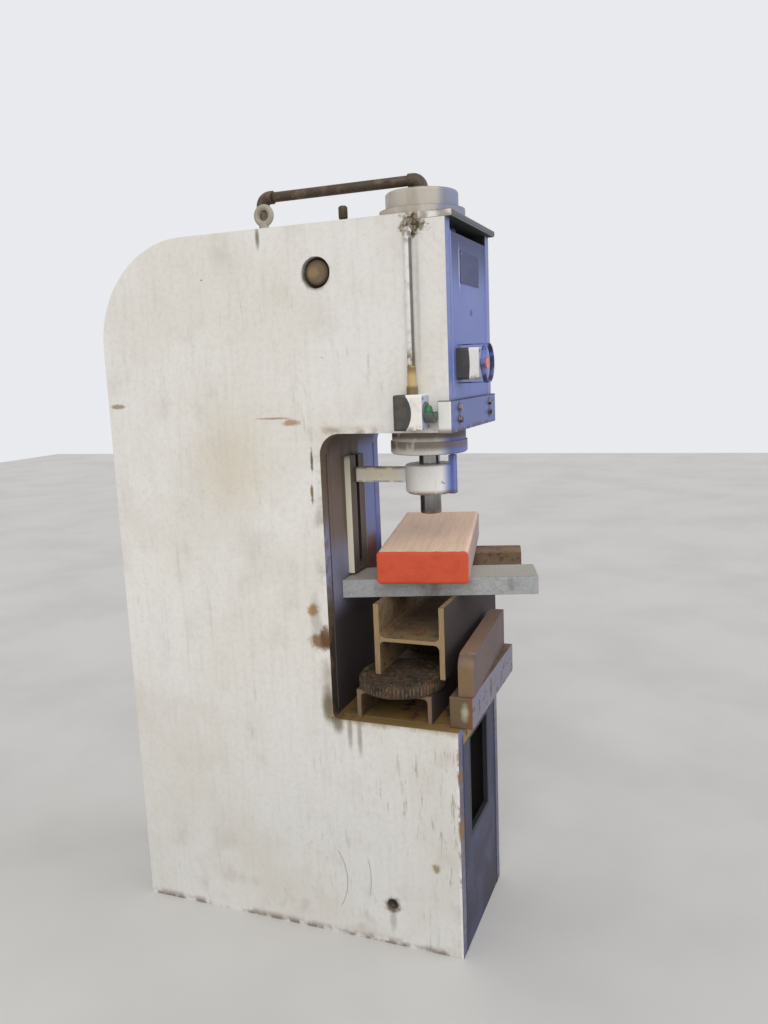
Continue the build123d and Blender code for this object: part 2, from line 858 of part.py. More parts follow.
def station(prefix, centre, size, depths, bulge, stem_radius, ring_radius, hood=0):
    """Push-button box in two halves, its joint line bowed towards the front, and its ring.

    centre is the x and z of the box, size its width and height, depths the y of its rear,
    its joint and its front. A hood reaches that far past the ring, under the button.
    """
    x, z = centre
    width, height = size
    rear, joint, front = depths
    across = Plane.YZ.offset(x - width / 2)
    with BuildPart() as base:
        with BuildSketch(across):
            with BuildLine():
                Polyline(
                    (joint, z - height / 2),
                    (rear, z - height / 2),
                    (rear, z + height / 2),
                    (joint, z + height / 2),
                )
                ThreePointArc((joint, z + height / 2), (joint - bulge, z), (joint, z - height / 2))
            make_face()
        extrude(amount=width)
        fillet(base.edges().filter_by(Axis.Y), station_corner)
    save(base.part, f"{prefix}_base")

    with BuildPart() as cover:
        with BuildSketch(across):
            with Locations(((joint + front) / 2, z)):
                Rectangle(joint - front, height)
        extrude(amount=width)
        fillet(cover.edges().filter_by(Axis.Y), station_corner)
        fillet(cover.edges().group_by(Axis.Y)[0], station_wall)
        with BuildSketch(across):
            with BuildLine():
                Line((joint, z - height / 2), (joint, z + height / 2))
                ThreePointArc((joint, z + height / 2), (joint - bulge, z), (joint, z - height / 2))
            make_face()
        extrude(amount=width, mode=Mode.SUBTRACT)
        with BuildSketch(Plane.YZ.offset(x - width / 2 + station_wall)):
            with Locations(((joint + front + station_wall) / 2, z)):
                Rectangle(joint - front - station_wall, height - 2 * station_wall)
        extrude(amount=width - 2 * station_wall, mode=Mode.SUBTRACT)
        with BuildSketch(Plane.XZ.offset(-front)):
            with Locations((x, z)):
                Circle(stem_radius + slide_fit)
        extrude(amount=-station_wall, mode=Mode.SUBTRACT)
    save(cover.part, f"{prefix}_cover")

    with BuildPart() as ring:
        with BuildSketch(Plane.XZ.offset(-front)):
            with Locations((x, z)):
                Circle(ring_radius)
                Circle(stem_radius + slide_fit, mode=Mode.SUBTRACT)
        extrude(amount=ring_thick)
        chamfer(ring.edges().group_by(Axis.Y)[0].sort_by(SortBy.LENGTH)[-1], edge_break)
        if hood:
            with BuildSketch(Plane.XZ.offset(-front)):
                with Locations((x, z)):
                    Circle(ring_radius)
                    Circle(ring_radius - hood_thick, mode=Mode.SUBTRACT)
                with Locations((x, z + ring_radius / 2)):
                    Rectangle(2 * ring_radius, ring_radius, mode=Mode.SUBTRACT)
            extrude(amount=ring_thick + hood)
    save(ring.part, f"{prefix}_ring")


def plunger(label, centre, front, stem_radius, head_radius, head_length):
    """Button: a flange inside the cover's wall, a stem through the ring, and its head.

    The head stands off the ring by the button's travel.
    """
    x, z = centre
    flange_y = front + station_wall + seat_gap
    tip = front - ring_thick - button_travel - seat_gap - head_length
    with BuildPart() as button:
        with BuildSketch(Plane.XZ.offset(-flange_y)):
            with Locations((x, z)):
                Circle(stem_radius + button_flange)
        extrude(amount=-button_flange)
        with BuildSketch(Plane.XZ.offset(-flange_y)):
            with Locations((x, z)):
                Circle(stem_radius)
        extrude(amount=flange_y - tip)
        with BuildSketch(Plane.XZ.offset(-tip - head_length)):
            with Locations((x, z)):
                Circle(head_radius)
        extrude(amount=head_length)
        chamfer(button.edges().group_by(Axis.Y)[0], button_round)
    save(button.part, label)


station(
    "start",
    (start_x, start_z),
    (start_width, start_height),
    (start_rear, start_rear - start_base_depth, start_front),
    start_bulge,
    start_button_radius,
    start_ring_radius,
    hood=start_front - ring_thick - nose_rear - hood_clearance,
)
plunger(
    "start_button", (start_x, start_z), start_front, start_button_radius,
    start_button_radius, start_head_length,
)

station(
    "stop",
    (stop_x, stop_z),
    (stop_width, stop_height),
    (head_front, head_front - stop_base_depth, stop_front),
    stop_bulge,
    stop_stem_radius,
    stop_ring_radius,
)
plunger(
    "stop_button", (stop_x, stop_z), stop_front, stop_stem_radius,
    stop_head_radius, stop_head_length,
)

# Guard hoop round the stop button, held by two straps off the head's front plate
with BuildPart() as stop_guard:
    with BuildSketch(Plane.XZ.offset(-guard_y)):
        with Locations((stop_x, stop_z)):
            Circle(guard_ring_radius)
            Circle(guard_ring_radius - guard_thick, mode=Mode.SUBTRACT)
    extrude(amount=-guard_band)
    for side in (-1, 1):
        strap_z = stop_z + side * (guard_ring_radius - guard_thick / 2)
        with BuildSketch(Plane.XY.offset(strap_z - guard_thick / 2)):
            with Locations((stop_x, (guard_y + head_front) / 2)):
                Rectangle(guard_band, head_front - guard_y)
        extrude(amount=guard_thick)
save(stop_guard.part, "stop_guard")

# Oil tank on the floor plate, open on top, and its lid
tank_middle = frame_rear - tank_setback - tank_length / 2
with BuildPart() as oil_tank:
    with BuildSketch(Plane.XY.offset(floor_plate_thick)):
        with Locations((0, tank_middle)):
            RectangleRounded(2 * tank_half_width, tank_length, tank_corner)
    extrude(amount=tank_height)
    tank_mouth = oil_tank.faces().sort_by(Axis.Z)[-1]
    offset(amount=-tank_wall, openings=tank_mouth)
save(oil_tank.part, "oil_tank")

suction_y = pump_front + pump_length / 2
with BuildPart() as tank_lid:
    with BuildSketch(Plane.XY.offset(lid_top - tank_lid_thick)):
        with Locations((0, tank_middle)):
            RectangleRounded(2 * tank_half_width, tank_length, tank_corner)
        with Locations((0, suction_y)):
            Circle(suction_radius + slide_fit, mode=Mode.SUBTRACT)
    extrude(amount=tank_lid_thick)
save(tank_lid.part, "tank_lid")

# Electric motor on its foot, with cooling ribs, terminal box and fan cover
motor_rear = motor_front + motor_length
with BuildPart() as motor:
    with BuildSketch(Plane.XZ.offset(-motor_front)):
        with Locations((0, drive_z)):
            Circle(motor_radius - fin_height)
    extrude(amount=-motor_length)
    with BuildSketch(Plane.XZ.offset(-motor_front - end_shield)):
        with Locations((0, drive_z)):
            with PolarLocations(motor_radius - fin_height, fin_count):
                Rectangle(2 * fin_height, fin_thick)
    extrude(amount=end_shield + fan_cover - motor_length)
    with BuildSketch(Plane.XZ.offset(-motor_rear)):
        with Locations((0, drive_z)):
            Circle(motor_radius)
    extrude(amount=-fan_cover)
    fillet(motor.edges().group_by(Axis.Y)[-1], fin_height)
    with BuildSketch(Plane.XY.offset(lid_top)):
        with Locations((0, motor_front + motor_length / 2)):
            Rectangle(motor_foot_width, motor_foot_length)
    extrude(amount=motor_foot + motor_radius / 2)
    with BuildSketch(Plane.XY.offset(drive_z)):
        with Locations((0, motor_front + motor_length / 2)):
            Rectangle(terminal_box, terminal_box)
    extrude(amount=motor_radius + terminal_rise)
    with BuildSketch(Plane.XZ.offset(-motor_front)):
        with Locations((0, drive_z)):
            Circle(shaft_radius + running_fit)
    extrude(amount=-2 * shaft_grip, mode=Mode.SUBTRACT)
save(motor.part, "motor")

# Bell housing between pump and motor, open at the sides where the coupling shows
with BuildPart() as bell_housing:
    with BuildSketch(Plane.XZ.offset(-bell_front)):
        with Locations((0, drive_z)):
            Circle(bell_radius)
    extrude(amount=-bell_length)
    with BuildSketch(Plane.XZ.offset(-bell_front - bell_wall)):
        with Locations((0, drive_z)):
            Circle(bell_radius - bell_wall)
    extrude(amount=-bell_length + bell_wall, mode=Mode.SUBTRACT)
    with BuildSketch(Plane.XZ.offset(-bell_front)):
        with Locations((0, drive_z)):
            Circle(shaft_radius + running_fit)
    extrude(amount=-bell_wall, mode=Mode.SUBTRACT)
    with BuildSketch(mid_plane):
        with Locations((bell_front + bell_length / 2 + bell_wall / 2, drive_z)):
            Rectangle(bell_window_length, bell_window_height)
    extrude(amount=bell_radius, both=True, mode=Mode.SUBTRACT)
save(bell_housing.part, "bell_housing")

# Gear pump in front of the bell housing, with its suction tube and its pressure nipple
pump_foot = drive_z - pump_height / 2
nipple_z = lid_top + nipple_rise
with BuildPart() as pump:
    with BuildSketch(Plane.XZ.offset(-pump_front)):
        with Locations((0, drive_z)):
            Rectangle(pump_width, pump_height)
    extrude(amount=-pump_length)
    fillet(pump.edges().filter_by(Axis.Y), pump_corner)
    with BuildSketch(Plane.XY.offset(pump_foot)):
        with Locations((0, suction_y)):
            Circle(suction_radius)
    extrude(amount=floor_plate_thick + suction_clearance - pump_foot)
    with BuildSketch(Plane.XZ.offset(-pump_front)):
        with Locations((0, nipple_z)):
            Circle(nipple_radius)
    extrude(amount=pump_front - valve_rear)
    with BuildSketch(Plane.XZ.offset(-bell_front)):
        with Locations((0, drive_z)):
            Circle(shaft_radius + running_fit)
    extrude(amount=shaft_grip, mode=Mode.SUBTRACT)
save(pump.part, "pump")

# Shaft line that turns in the pump and the motor, with the coupling in the bell housing
coupling_y = bell_front + bell_wall + (bell_length - bell_wall) / 2
shaft_front = bell_front - shaft_grip + slide_fit
with BuildPart() as drive_shaft:
    with BuildSketch(Plane.XZ.offset(-shaft_front)):
        with Locations((0, drive_z)):
            Circle(shaft_radius)
    extrude(amount=-(bell_length + 3 * shaft_grip - 2 * slide_fit))
    for half in (-1, 1):
        with BuildSketch(Plane.XZ.offset(-coupling_y - half * coupling_gap / 2)):
            with Locations((0, drive_z)):
                Circle(coupling_radius)
        extrude(amount=-half * coupling_half)
    with BuildSketch(Plane.XZ.offset(-coupling_y)):
        with Locations((0, drive_z)):
            RegularPolygon(coupling_radius, 6)
    extrude(amount=coupling_gap / 2, both=True)
save(drive_shaft.part, "drive_shaft")

# Valve block under the riser, with a solenoid on each side
coil_z = lid_top + coil_rise
with BuildPart() as valve_block:
    with BuildSketch(Plane.XY.offset(lid_top)):
        with Locations((0, riser_y)):
            Rectangle(valve_width, valve_width)
    extrude(amount=valve_height)
    chamfer(valve_block.edges().filter_by(Axis.Z), edge_break)
    with BuildSketch(Plane.YZ.offset(-valve_width / 2 - coil_length)):
        with Locations((riser_y, coil_z)):
            Circle(coil_radius)
    extrude(amount=valve_width + 2 * coil_length)
save(valve_block.part, "valve_block")

# Rear cover: a sheet with louvre slots, screwed to the side plates' rear edges
cover_reach = cover_top + skin_thick
screw_pitch = (cover_reach - cover_foot) / cover_screw_rows
cover_middle = (cover_foot + cover_reach) / 2
with BuildPart() as rear_cover:
    with BuildSketch(Plane.XZ.offset(-frame_rear)):
        with Locations((0, cover_middle)):
            RectangleRounded(2 * cover_half_width, cover_reach - cover_foot, cover_corner)
            with GridLocations(louvre_column_pitch, louvre_pitch, 2, louvre_count):
                Rectangle(louvre_width, louvre_height, mode=Mode.SUBTRACT)
    extrude(amount=-cover_thick)
save(rear_cover.part, "rear_cover")

with BuildPart() as cover_screws:
    with BuildSketch(Plane.XZ.offset(-frame_rear - cover_thick)):
        with Locations((0, cover_middle)):
            with GridLocations(2 * half_frame - plate_thick, screw_pitch, 2, cover_screw_rows):
                Circle(cover_screw_radius)
    extrude(amount=-cover_thick)
    chamfer(cover_screws.edges().group_by(Axis.Y)[-1], cover_thick / 3)
save(cover_screws.part, "cover_screws")

# Work supports: channel on its legs, two bolster discs, beam, two turned bars and the block
channel_top = table_height + channel_height
with BuildPart() as support_channel:
    with BuildSketch(Plane.YZ.offset(channel_start)) as channel_section:
        with Locations((channel_y, table_height + channel_height / 2)):
            Rectangle(channel_width, channel_height)
        with Locations((channel_y, table_height + (channel_height - channel_web) / 2)):
            Rectangle(
                channel_width - 2 * channel_flange,
                channel_height - channel_web,
                mode=Mode.SUBTRACT,
            )
        inner_corners = channel_section.vertices().filter_by(
            lambda v: abs(v.Y - channel_top + channel_web) < slide_fit
        )
        fillet(inner_corners, channel_flange)
    extrude(amount=channel_length)
save(support_channel.part, "support_channel")

disc_top = channel_top + disc_thick
for label, disc_x in (("near_disc", disc_near_x), ("far_disc", disc_far_x)):
    with BuildPart() as disc:
        with BuildSketch(Plane.XY.offset(channel_top)):
            with Locations((disc_x, disc_y)):
                Circle(disc_radius)
                with PolarLocations(disc_hole_circle, disc_hole_count):
                    Circle(disc_hole_radius, mode=Mode.SUBTRACT)
        extrude(amount=disc_thick)
        rims = disc.edges().filter_by(GeomType.CIRCLE).group_by(SortBy.RADIUS)[-1]
        chamfer(rims, disc_rim)
    save(disc.part, label)

with BuildPart() as support_beam:
    with BuildSketch(Plane.YZ.offset(beam_start)) as beam_section:
        with Locations((beam_y, disc_top + beam_height / 2)):
            Rectangle(beam_depth, beam_height)
        trough = (beam_height - beam_web) / 2
        for side in (-1, 1):
            with Locations((beam_y, disc_top + beam_height / 2 + side * (trough + beam_web) / 2)):
                Rectangle(beam_depth - 2 * beam_flange, trough, mode=Mode.SUBTRACT)
        roots = beam_section.vertices().filter_by(
            lambda v: abs(abs(v.Y - disc_top - beam_height / 2) - beam_web / 2) < slide_fit
        )
        fillet(roots, beam_root)
    extrude(amount=beam_length)
save(support_beam.part, "support_beam")


def turned(origin, height, degrees):
    """Level plane at a height, turned from the press's own X by some degrees."""
    angle = math.radians(degrees)
    return Plane(
        origin=(origin[0], origin[1], height),
        x_dir=(math.cos(angle), math.sin(angle), 0),
        z_dir=(0, 0, 1),
    )


# The near bar's rear end is cut off along the throat liner; the far bar passes beside the frame
bar_wall = throat_depth - bar_wall_gap
with BuildPart() as near_bar:
    with BuildSketch(turned((near_bar_x, near_bar_y), bar_bottom, near_bar_turn)):
        Rectangle(near_bar_width, near_bar_length, align=(Align.MIN, Align.MIN))
    extrude(amount=table_bar_height)
    split(bisect_by=Plane.XZ.offset(-bar_wall), keep=Keep.TOP)
    chamfer(near_bar.edges().group_by(Axis.Z)[-1], edge_break)
save(near_bar.part, "near_bar")

with BuildPart() as far_bar:
    with BuildSketch(turned((far_bar_x, far_bar_y), bar_bottom, far_bar_turn)):
        Rectangle(far_bar_width, far_bar_length, align=(Align.MIN, Align.MIN))
    extrude(amount=table_bar_height)
    chamfer(far_bar.edges().group_by(Axis.Z)[-1], edge_break)
save(far_bar.part, "far_bar")

block_level = turned((block_x, block_y), bar_top, block_turn)
along_block = Axis((0, 0, 0), block_level.x_dir)
with BuildPart() as packing_block:
    with BuildSketch(block_level):
        Rectangle(block_length, block_width, align=(Align.MIN, Align.CENTER))
    extrude(amount=block_height)
    fillet(packing_block.edges().filter_by(along_block), block_round)
    chamfer(packing_block.faces().filter_by(along_block).edges(), block_end_break)
save(packing_block.part, "packing_block")

# Front bar along the table's front edge, and the tall bar that stands on it
front_bar_y = head_front - front_bar_overhang
with BuildPart() as front_bar:
    with BuildSketch(Plane.YZ.offset(front_bar_start)):
        with Locations((front_bar_y + front_bar_width / 2, table_height + front_bar_height / 2)):
            Rectangle(front_bar_width, front_bar_height)
    extrude(amount=front_bar_length)
    chamfer(front_bar.edges(), edge_break)
save(front_bar.part, "front_bar")

front_bar_top = table_height + front_bar_height
with BuildPart() as tall_bar:
    with BuildSketch(turned((tall_bar_x, tall_bar_y), front_bar_top, tall_bar_turn)):
        Rectangle(tall_bar_length, tall_bar_width, align=(Align.MIN, Align.MIN))
    extrude(amount=tall_bar_height)
    near_top = tall_bar.edges().group_by(Axis.Z)[-1].sort_by(Axis.X)[0]
    fillet(near_top, tall_bar_round)
save(tall_bar.part, "tall_bar")
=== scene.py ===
import math

import bmesh
import bpy
from mathutils import Euler, Matrix, Vector, noise


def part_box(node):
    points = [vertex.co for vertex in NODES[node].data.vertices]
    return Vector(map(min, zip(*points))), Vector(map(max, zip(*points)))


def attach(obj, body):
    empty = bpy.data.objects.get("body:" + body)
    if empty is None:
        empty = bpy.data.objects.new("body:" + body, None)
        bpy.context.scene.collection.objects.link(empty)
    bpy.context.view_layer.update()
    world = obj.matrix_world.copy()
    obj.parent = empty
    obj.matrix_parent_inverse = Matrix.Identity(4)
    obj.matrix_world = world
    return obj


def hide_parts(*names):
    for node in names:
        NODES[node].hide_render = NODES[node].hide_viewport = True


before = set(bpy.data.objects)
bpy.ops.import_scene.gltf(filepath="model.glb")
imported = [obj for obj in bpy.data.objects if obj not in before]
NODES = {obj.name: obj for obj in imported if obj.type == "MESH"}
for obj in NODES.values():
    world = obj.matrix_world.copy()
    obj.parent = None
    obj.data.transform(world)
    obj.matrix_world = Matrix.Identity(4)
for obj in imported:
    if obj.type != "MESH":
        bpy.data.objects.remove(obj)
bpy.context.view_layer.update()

bl_info = {
    "name": "Hydraulic press dressing",
    "version": (1, 0, 0),
    "blender": (4, 5, 0),
    "location": "View3D > Sidebar > Press",
    "description": "Paint, rust, timber and small fittings for the hydraulic press",
    "category": "Object",
}

MM = 0.001
X, Y, Z = 0, 1, 2

# Sockets of Blender's mix and map range nodes
MIX_SOCKETS = {"RGBA": (6, 7, 2), "FLOAT": (2, 3, 0)}
RANGE_FROM_LOW, RANGE_FROM_HIGH, RANGE_TO_LOW, RANGE_TO_HIGH = 1, 2, 3, 4


# Colours


def srgb(red, green, blue):
    """A colour given as it looks on screen, 0 to 255, as Blender's linear values."""
    shades = []
    for value in (red, green, blue):
        share = value / 255
        shades.append(share / 12.92 if share <= 0.04045 else ((share + 0.055) / 1.055) ** 2.4)
    return (*shades, 1)


def linear(colour):
    """Three screen values are converted, a colour with four is linear already."""
    return srgb(*colour) if len(colour) == 3 else colour


def scaled(colour, shares):
    return (*(value * share for value, share in zip(linear(colour), shares)), 1)


def mixed(first, second, share):
    return tuple((1 - share) * a + share * b for a, b in zip(first, second))


PAINT_GRIME = (120, 104, 82)
OIL_BROWN = (84, 62, 38)
RUST_DARK = (72, 45, 30)
RUST_RED = (126, 72, 40)
DUST = (146, 132, 108)
BLACK_DIRT = (38, 33, 30)


# Materials


class Finish:
    """A material in the making: one shader, and layers of colour, gloss and relief under it."""

    def __init__(self, name, colour, roughness=0.5, metallic=0):
        self.colour = linear(colour)
        self.roughness = roughness
        self.height = None
        self.masks = {}
        self.material = bpy.data.materials.new(name)
        self.material.use_nodes = True
        self.material.diffuse_color = self.colour
        self.tree = self.material.node_tree
        self.tree.nodes.clear()
        self.shader = self.add("BsdfPrincipled")
        output = self.add("OutputMaterial")
        self.tree.links.new(self.shader.outputs["BSDF"], output.inputs["Surface"])
        self.shader.inputs["Metallic"].default_value = metallic
        self.place = self.add("TexCoord").outputs["Object"]
        self.axes = self.add("SeparateXYZ")
        self.tree.links.new(self.place, self.axes.inputs[0])

    def add(self, kind, **settings):
        node = self.tree.nodes.new("ShaderNode" + kind)
        for key, value in settings.items():
            setattr(node, key, value)
        return node

    def feed(self, node, socket, value):
        """Link an output to a socket, or set the socket's own value."""
        if isinstance(value, bpy.types.NodeSocket):
            self.tree.links.new(value, node.inputs[socket])
        else:
            node.inputs[socket].default_value = value

    def maths(self, operation, first, second=0):
        node = self.add("Math", operation=operation)
        self.feed(node, 0, first)
        self.feed(node, 1, second)
        return node.outputs[0]

    def vector(self, operation, first, second=(0, 0, 0)):
        node = self.add("VectorMath", operation=operation)
        self.feed(node, 0, first)
        self.feed(node, 1, second)
        return node.outputs["Value" if operation == "LENGTH" else "Vector"]

    def reach(self, centre, axes):
        """Distance from a place, counted along the axes given as 1."""
        apart = self.vector("MULTIPLY", self.vector("SUBTRACT", self.place, centre), axes)
        return self.vector("LENGTH", apart)

    def step(self, value, low, high):
        """0 below low, 1 above high, smooth between; low above high turns it round."""
        node = self.add("MapRange", interpolation_type="SMOOTHSTEP")
        self.feed(node, 0, value)
        if low > high:
            low, high = high, low
            self.feed(node, RANGE_TO_LOW, 1)
            self.feed(node, RANGE_TO_HIGH, 0)
        self.feed(node, RANGE_FROM_LOW, low)
        self.feed(node, RANGE_FROM_HIGH, high)
        return node.outputs[0]

    def blend(self, kind, factor, first, second):
        low, high, result = MIX_SOCKETS[kind]
        node = self.add("Mix", data_type=kind)
        self.feed(node, 0, factor)
        self.feed(node, low, first)
        self.feed(node, high, second)
        return node.outputs[result]

    def noise(self, scale, detail=3, stretch=(1, 1, 1), shift=(0, 0, 0), rough=0.55):
        """Cloudy pattern from 0 to 1; stretch multiplies the scale along each axis."""
        mapping = self.add("Mapping")
        self.feed(mapping, "Vector", self.place)
        self.feed(mapping, "Location", shift)
        self.feed(mapping, "Scale", stretch)
        node = self.add("TexNoise")
        self.feed(node, "Vector", mapping.outputs[0])
        self.feed(node, "Scale", scale)
        self.feed(node, "Detail", detail)
        self.feed(node, "Roughness", rough)
        return node.outputs["Fac"]

    def mask(self, item):
        """The output of a mask; one that is used again is built once."""
        if not callable(item):
            return item
        if item not in self.masks:
            self.masks[item] = item(self)
        return self.masks[item]

    def join(self, operation, *items):
        result = self.mask(items[0])
        for item in items[1:]:
            result = self.maths(operation, result, self.mask(item))
        return result

    def coats(self, *rows):
        """Lay each row where all its masks are 1: share, colour, then roughness and relief if any, masks."""
        for share, colour, *rest in rows:
            numbers = [item for item in rest if isinstance(item, (int, float))]
            mask = self.join("MULTIPLY", *rest[len(numbers):])
            if share != 1:
                mask = self.maths("MULTIPLY", mask, share)
            self.colour = self.blend("RGBA", mask, self.colour, linear(colour))
            if numbers:
                self.roughness = self.blend("FLOAT", mask, self.roughness, numbers[0])
            if len(numbers) > 1:
                self.relief(numbers[1], mask)
        return self

    def relief(self, depth, mask):
        """Raise the surface by a mask, in millimetres."""
        raised = self.maths("MULTIPLY", self.mask(mask), depth)
        self.height = raised if self.height is None else self.maths("ADD", self.height, raised)
        return self

    def turned(self, degrees):
        """Let the finish follow a piece that lies turned about the press's axis."""
        mapping = self.add("Mapping")
        self.feed(mapping, "Vector", self.place)
        self.feed(mapping, "Rotation", (0, 0, -math.radians(degrees)))
        self.place = mapping.outputs[0]
        self.tree.links.new(self.place, self.axes.inputs[0])
        return self

    def done(self):
        """Link the layers to the shader: the material is ready."""
        self.feed(self.shader, "Base Color", self.colour)
        self.feed(self.shader, "Roughness", self.roughness)
        if self.height is not None:
            bump = self.add("Bump")
            self.feed(bump, "Height", self.height)
            self.feed(bump, "Distance", MM)
            self.tree.links.new(bump.outputs["Normal"], self.shader.inputs["Normal"])
        return self.material

    def dress(self, nodes, bevel=0):
        """Finish the material and give it to CAD nodes."""
        material = self.done()
        assign(nodes, material, bevel)
        return material


# Masks: each is a function of the finish that it is used in


def ramp(axis, low, high):
    """0 below low and 1 above high along an axis, or turned round."""
    return lambda finish: finish.step(finish.axes.outputs[axis], low, high)


def clouds(low, high, *pattern, **shape):
    """Patches where a cloudy pattern rises over low."""
    return lambda finish: finish.step(finish.noise(*pattern, **shape), low, high)


def grainy(*pattern, **shape):
    """The cloudy pattern itself."""
    return lambda finish: finish.noise(*pattern, **shape)


def every(*masks):
    """1 where all the masks are 1."""
    return lambda finish: finish.join("MULTIPLY", *masks)


def either(*masks):
    """1 where any of the masks is 1."""
    return lambda finish: finish.join("MAXIMUM", *masks)


def between(axis, low, high, soft=0.01):
    """1 from low to high along an axis."""
    return every(ramp(axis, low - soft, low + soft), ramp(axis, high + soft, high - soft))


def near(axis, value, reach, soft):
    """1 within reach of a plane across an axis."""

    def mask(finish):
        apart = finish.maths("ABSOLUTE", finish.maths("SUBTRACT", finish.axes.outputs[axis], value))
        return finish.step(apart, reach + soft, reach)

    return mask


def around(centre, axes, low, high):
    """1 near a line through a place or far from it, by the distance."""
    return lambda finish: finish.step(finish.reach(centre, axes), low, high)


def spot(centre, radii, ragged=0.35, soft=0.35, grain=60):
    """Patch with an uneven edge, 1 inside, round a place on the object."""

    def mask(finish):
        apart = finish.vector("DIVIDE", finish.vector("SUBTRACT", finish.place, centre), radii)
        uneven = finish.maths("SUBTRACT", finish.noise(grain, 4), 0.5)
        shaken = finish.maths("MULTIPLY", uneven, 4 * ragged)
        reach = finish.maths("ADD", finish.vector("LENGTH", apart), shaken)
        return finish.step(reach, 1 + soft, 1 - soft)

    return mask


# Kinds of surface


def worn_paint(name, colour, wear=0.5, seed=0, painted_light_tint=None):
    """Old brushed paint: cloudy tone, runs, pits and small rust chips, and painted light and shade laid on the
    faces that the last argument's mask picks out.
    """
    finish = Finish(name, colour, roughness=0.42)
    shift = (seed, seed * 1.7, seed * 0.6)
    warm = scaled(colour, (0.95, 0.935, 0.89))
    # The last argument paints light and shade: a colour laid over the faces that its mask picks out.
    painted_light_coats = ((1, painted_light_tint[1], painted_light_tint[0]),) if painted_light_tint else ()
    chipped = 0.765 - 0.06 * wear
    return finish.coats(
        (1, warm, 0.5, clouds(0.42, 0.68, 2.2, 4, shift=shift)),
        *painted_light_coats,
        (0.3 * wear, PAINT_GRIME, 0.6, clouds(0.54, 0.8, 9, 5, shift=shift)),
        (0.4 * wear, PAINT_GRIME, 0.6, clouds(0.62, 0.8, 1, 4, (26, 26, 1.6), shift)),
        (0.6 * wear, (128, 118, 90), 0.65, -0.05, clouds(0.52, 0.68, 5, 3, shift=(seed + 3, 0, 0)),
         clouds(0.58, 0.7, 1, 5, (80, 80, 11), shift, 0.6)),
        (1, RUST_DARK, 0.85, -0.25, clouds(chipped, chipped + 0.025, 34, 6, shift=shift, rough=0.62)),
    ).relief(0.05, grainy(170, 2)).relief(0.55, grainy(16, 3))


def rusty(name, dark, light, seed=0, rough=0.8, metallic=0.2, dusty=0):
    """Rusted steel: blotches in two tones, fine scale and some dust."""
    shift = (seed, seed * 0.7, seed * 1.3)
    finish = Finish(name, dark, rough, metallic).coats(
        (1, light, clouds(0.4, 0.62, 7, 6, shift=shift)),
        (0.7, RUST_RED, clouds(0.5, 0.66, 26, 6, shift=shift)),
        (0.75, (48, 36, 30), 0.9, -0.15, clouds(0.56, 0.66, 60, 4, shift=shift)),
    )
    if dusty:
        finish.coats((dusty, DUST, 0.9, clouds(0.36, 0.6, 11, 5, shift=(seed + 2, 1, 0))))
    return finish.relief(0.22, grainy(210, 3, shift=shift)).relief(0.45, grainy(38, 5, shift=shift))


def steel(name, colour, roughness=0.35, metallic=0.85, seed=0, stretch=(1, 1, 1)):
    """Bare steel with fine lines, stains and a little rust."""
    finish = Finish(name, colour, roughness, metallic)
    lines = finish.noise(90, 2, stretch, (seed, 0, 0))
    return finish.coats(
        (0.35, scaled(colour, (0.7, 0.7, 0.7)), roughness + 0.12, finish.step(lines, 0.35, 0.75)),
        (0.55, (92, 80, 66), 0.6, clouds(0.54, 0.72, 14, 5, shift=(seed, 2, 0))),
    ).relief(0.05, lines)


def flat_paint(name, colour, roughness=0.45, seed=0, grime=0.4):
    """Painted or moulded small part with a slight grain and some dirt."""
    return Finish(name, colour, roughness).coats(
        (grime, PAINT_GRIME, roughness + 0.15, clouds(0.48, 0.72, 28, 5, shift=(seed, 1, seed))),
        (0.6 * grime + 0.1, BLACK_DIRT, 0.8, clouds(0.62, 0.7, 120, 4, shift=(seed, 0, 3))),
    ).relief(0.06, grainy(320, 2))


# Pieces


def placed(name, data):
    """A new object at the origin of the scene."""
    obj = bpy.data.objects.new(name, data)
    bpy.context.scene.collection.objects.link(obj)
    return obj


def assign(nodes, material, bevel=0):
    """Give CAD nodes their material, and slightly rounded edges where they have sharp ones."""
    for name in nodes.split():
        obj = NODES[name]
        obj.data.materials.clear()
        obj.data.materials.append(material)
        if bevel:
            weld = obj.modifiers.new("weld", "WELD")
            weld.merge_threshold = 0.02 * MM
            rounding = obj.modifiers.new("edges", "BEVEL")
            rounding.width = bevel * MM
            rounding.segments = 2
            rounding.limit_method = "ANGLE"
            rounding.angle_limit = math.radians(40)
            rounding.use_clamp_overlap = True
            rounding.harden_normals = True


def finish_mesh(name, bm, material, angle=35):
    """Turn a bmesh into a piece that rides on the frame."""
    bmesh.ops.remove_doubles(bm, verts=bm.verts, dist=0.005 * MM)
    bmesh.ops.recalc_face_normals(bm, faces=bm.faces)
    mesh = bpy.data.meshes.new(name)
    bm.to_mesh(mesh)
    bm.free()
    piece = placed(name, mesh)
    mesh.materials.append(material)
    mesh.polygons.foreach_set("use_smooth", [True] * len(mesh.polygons))
    mesh.set_sharp_from_angle(angle=math.radians(angle))
    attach(piece, "frame")
    return piece


def bevel_all(bm, width, segments, edges):
    bmesh.ops.bevel(bm, geom=edges, offset=width, segments=segments, affect="EDGES", profile=0.5, material=-1)


def unique(items):
    """Each item once, in the order in which it comes."""
    return list(dict.fromkeys(items))


def edges_of(verts):
    return unique(edge for vert in verts for edge in vert.link_edges)


def direction(edge):
    return (edge.verts[1].co - edge.verts[0].co).normalized()


def centre_of(node):
    low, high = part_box(node)
    return (low + high) / 2


def block(bm, low, high):
    """A box between two corners, added to the bmesh."""
    low, high = Vector(low), Vector(high)
    place = Matrix.Translation((low + high) / 2) @ Matrix.Diagonal((*(high - low), 1))
    return bmesh.ops.create_cube(bm, size=1, matrix=place)["verts"]


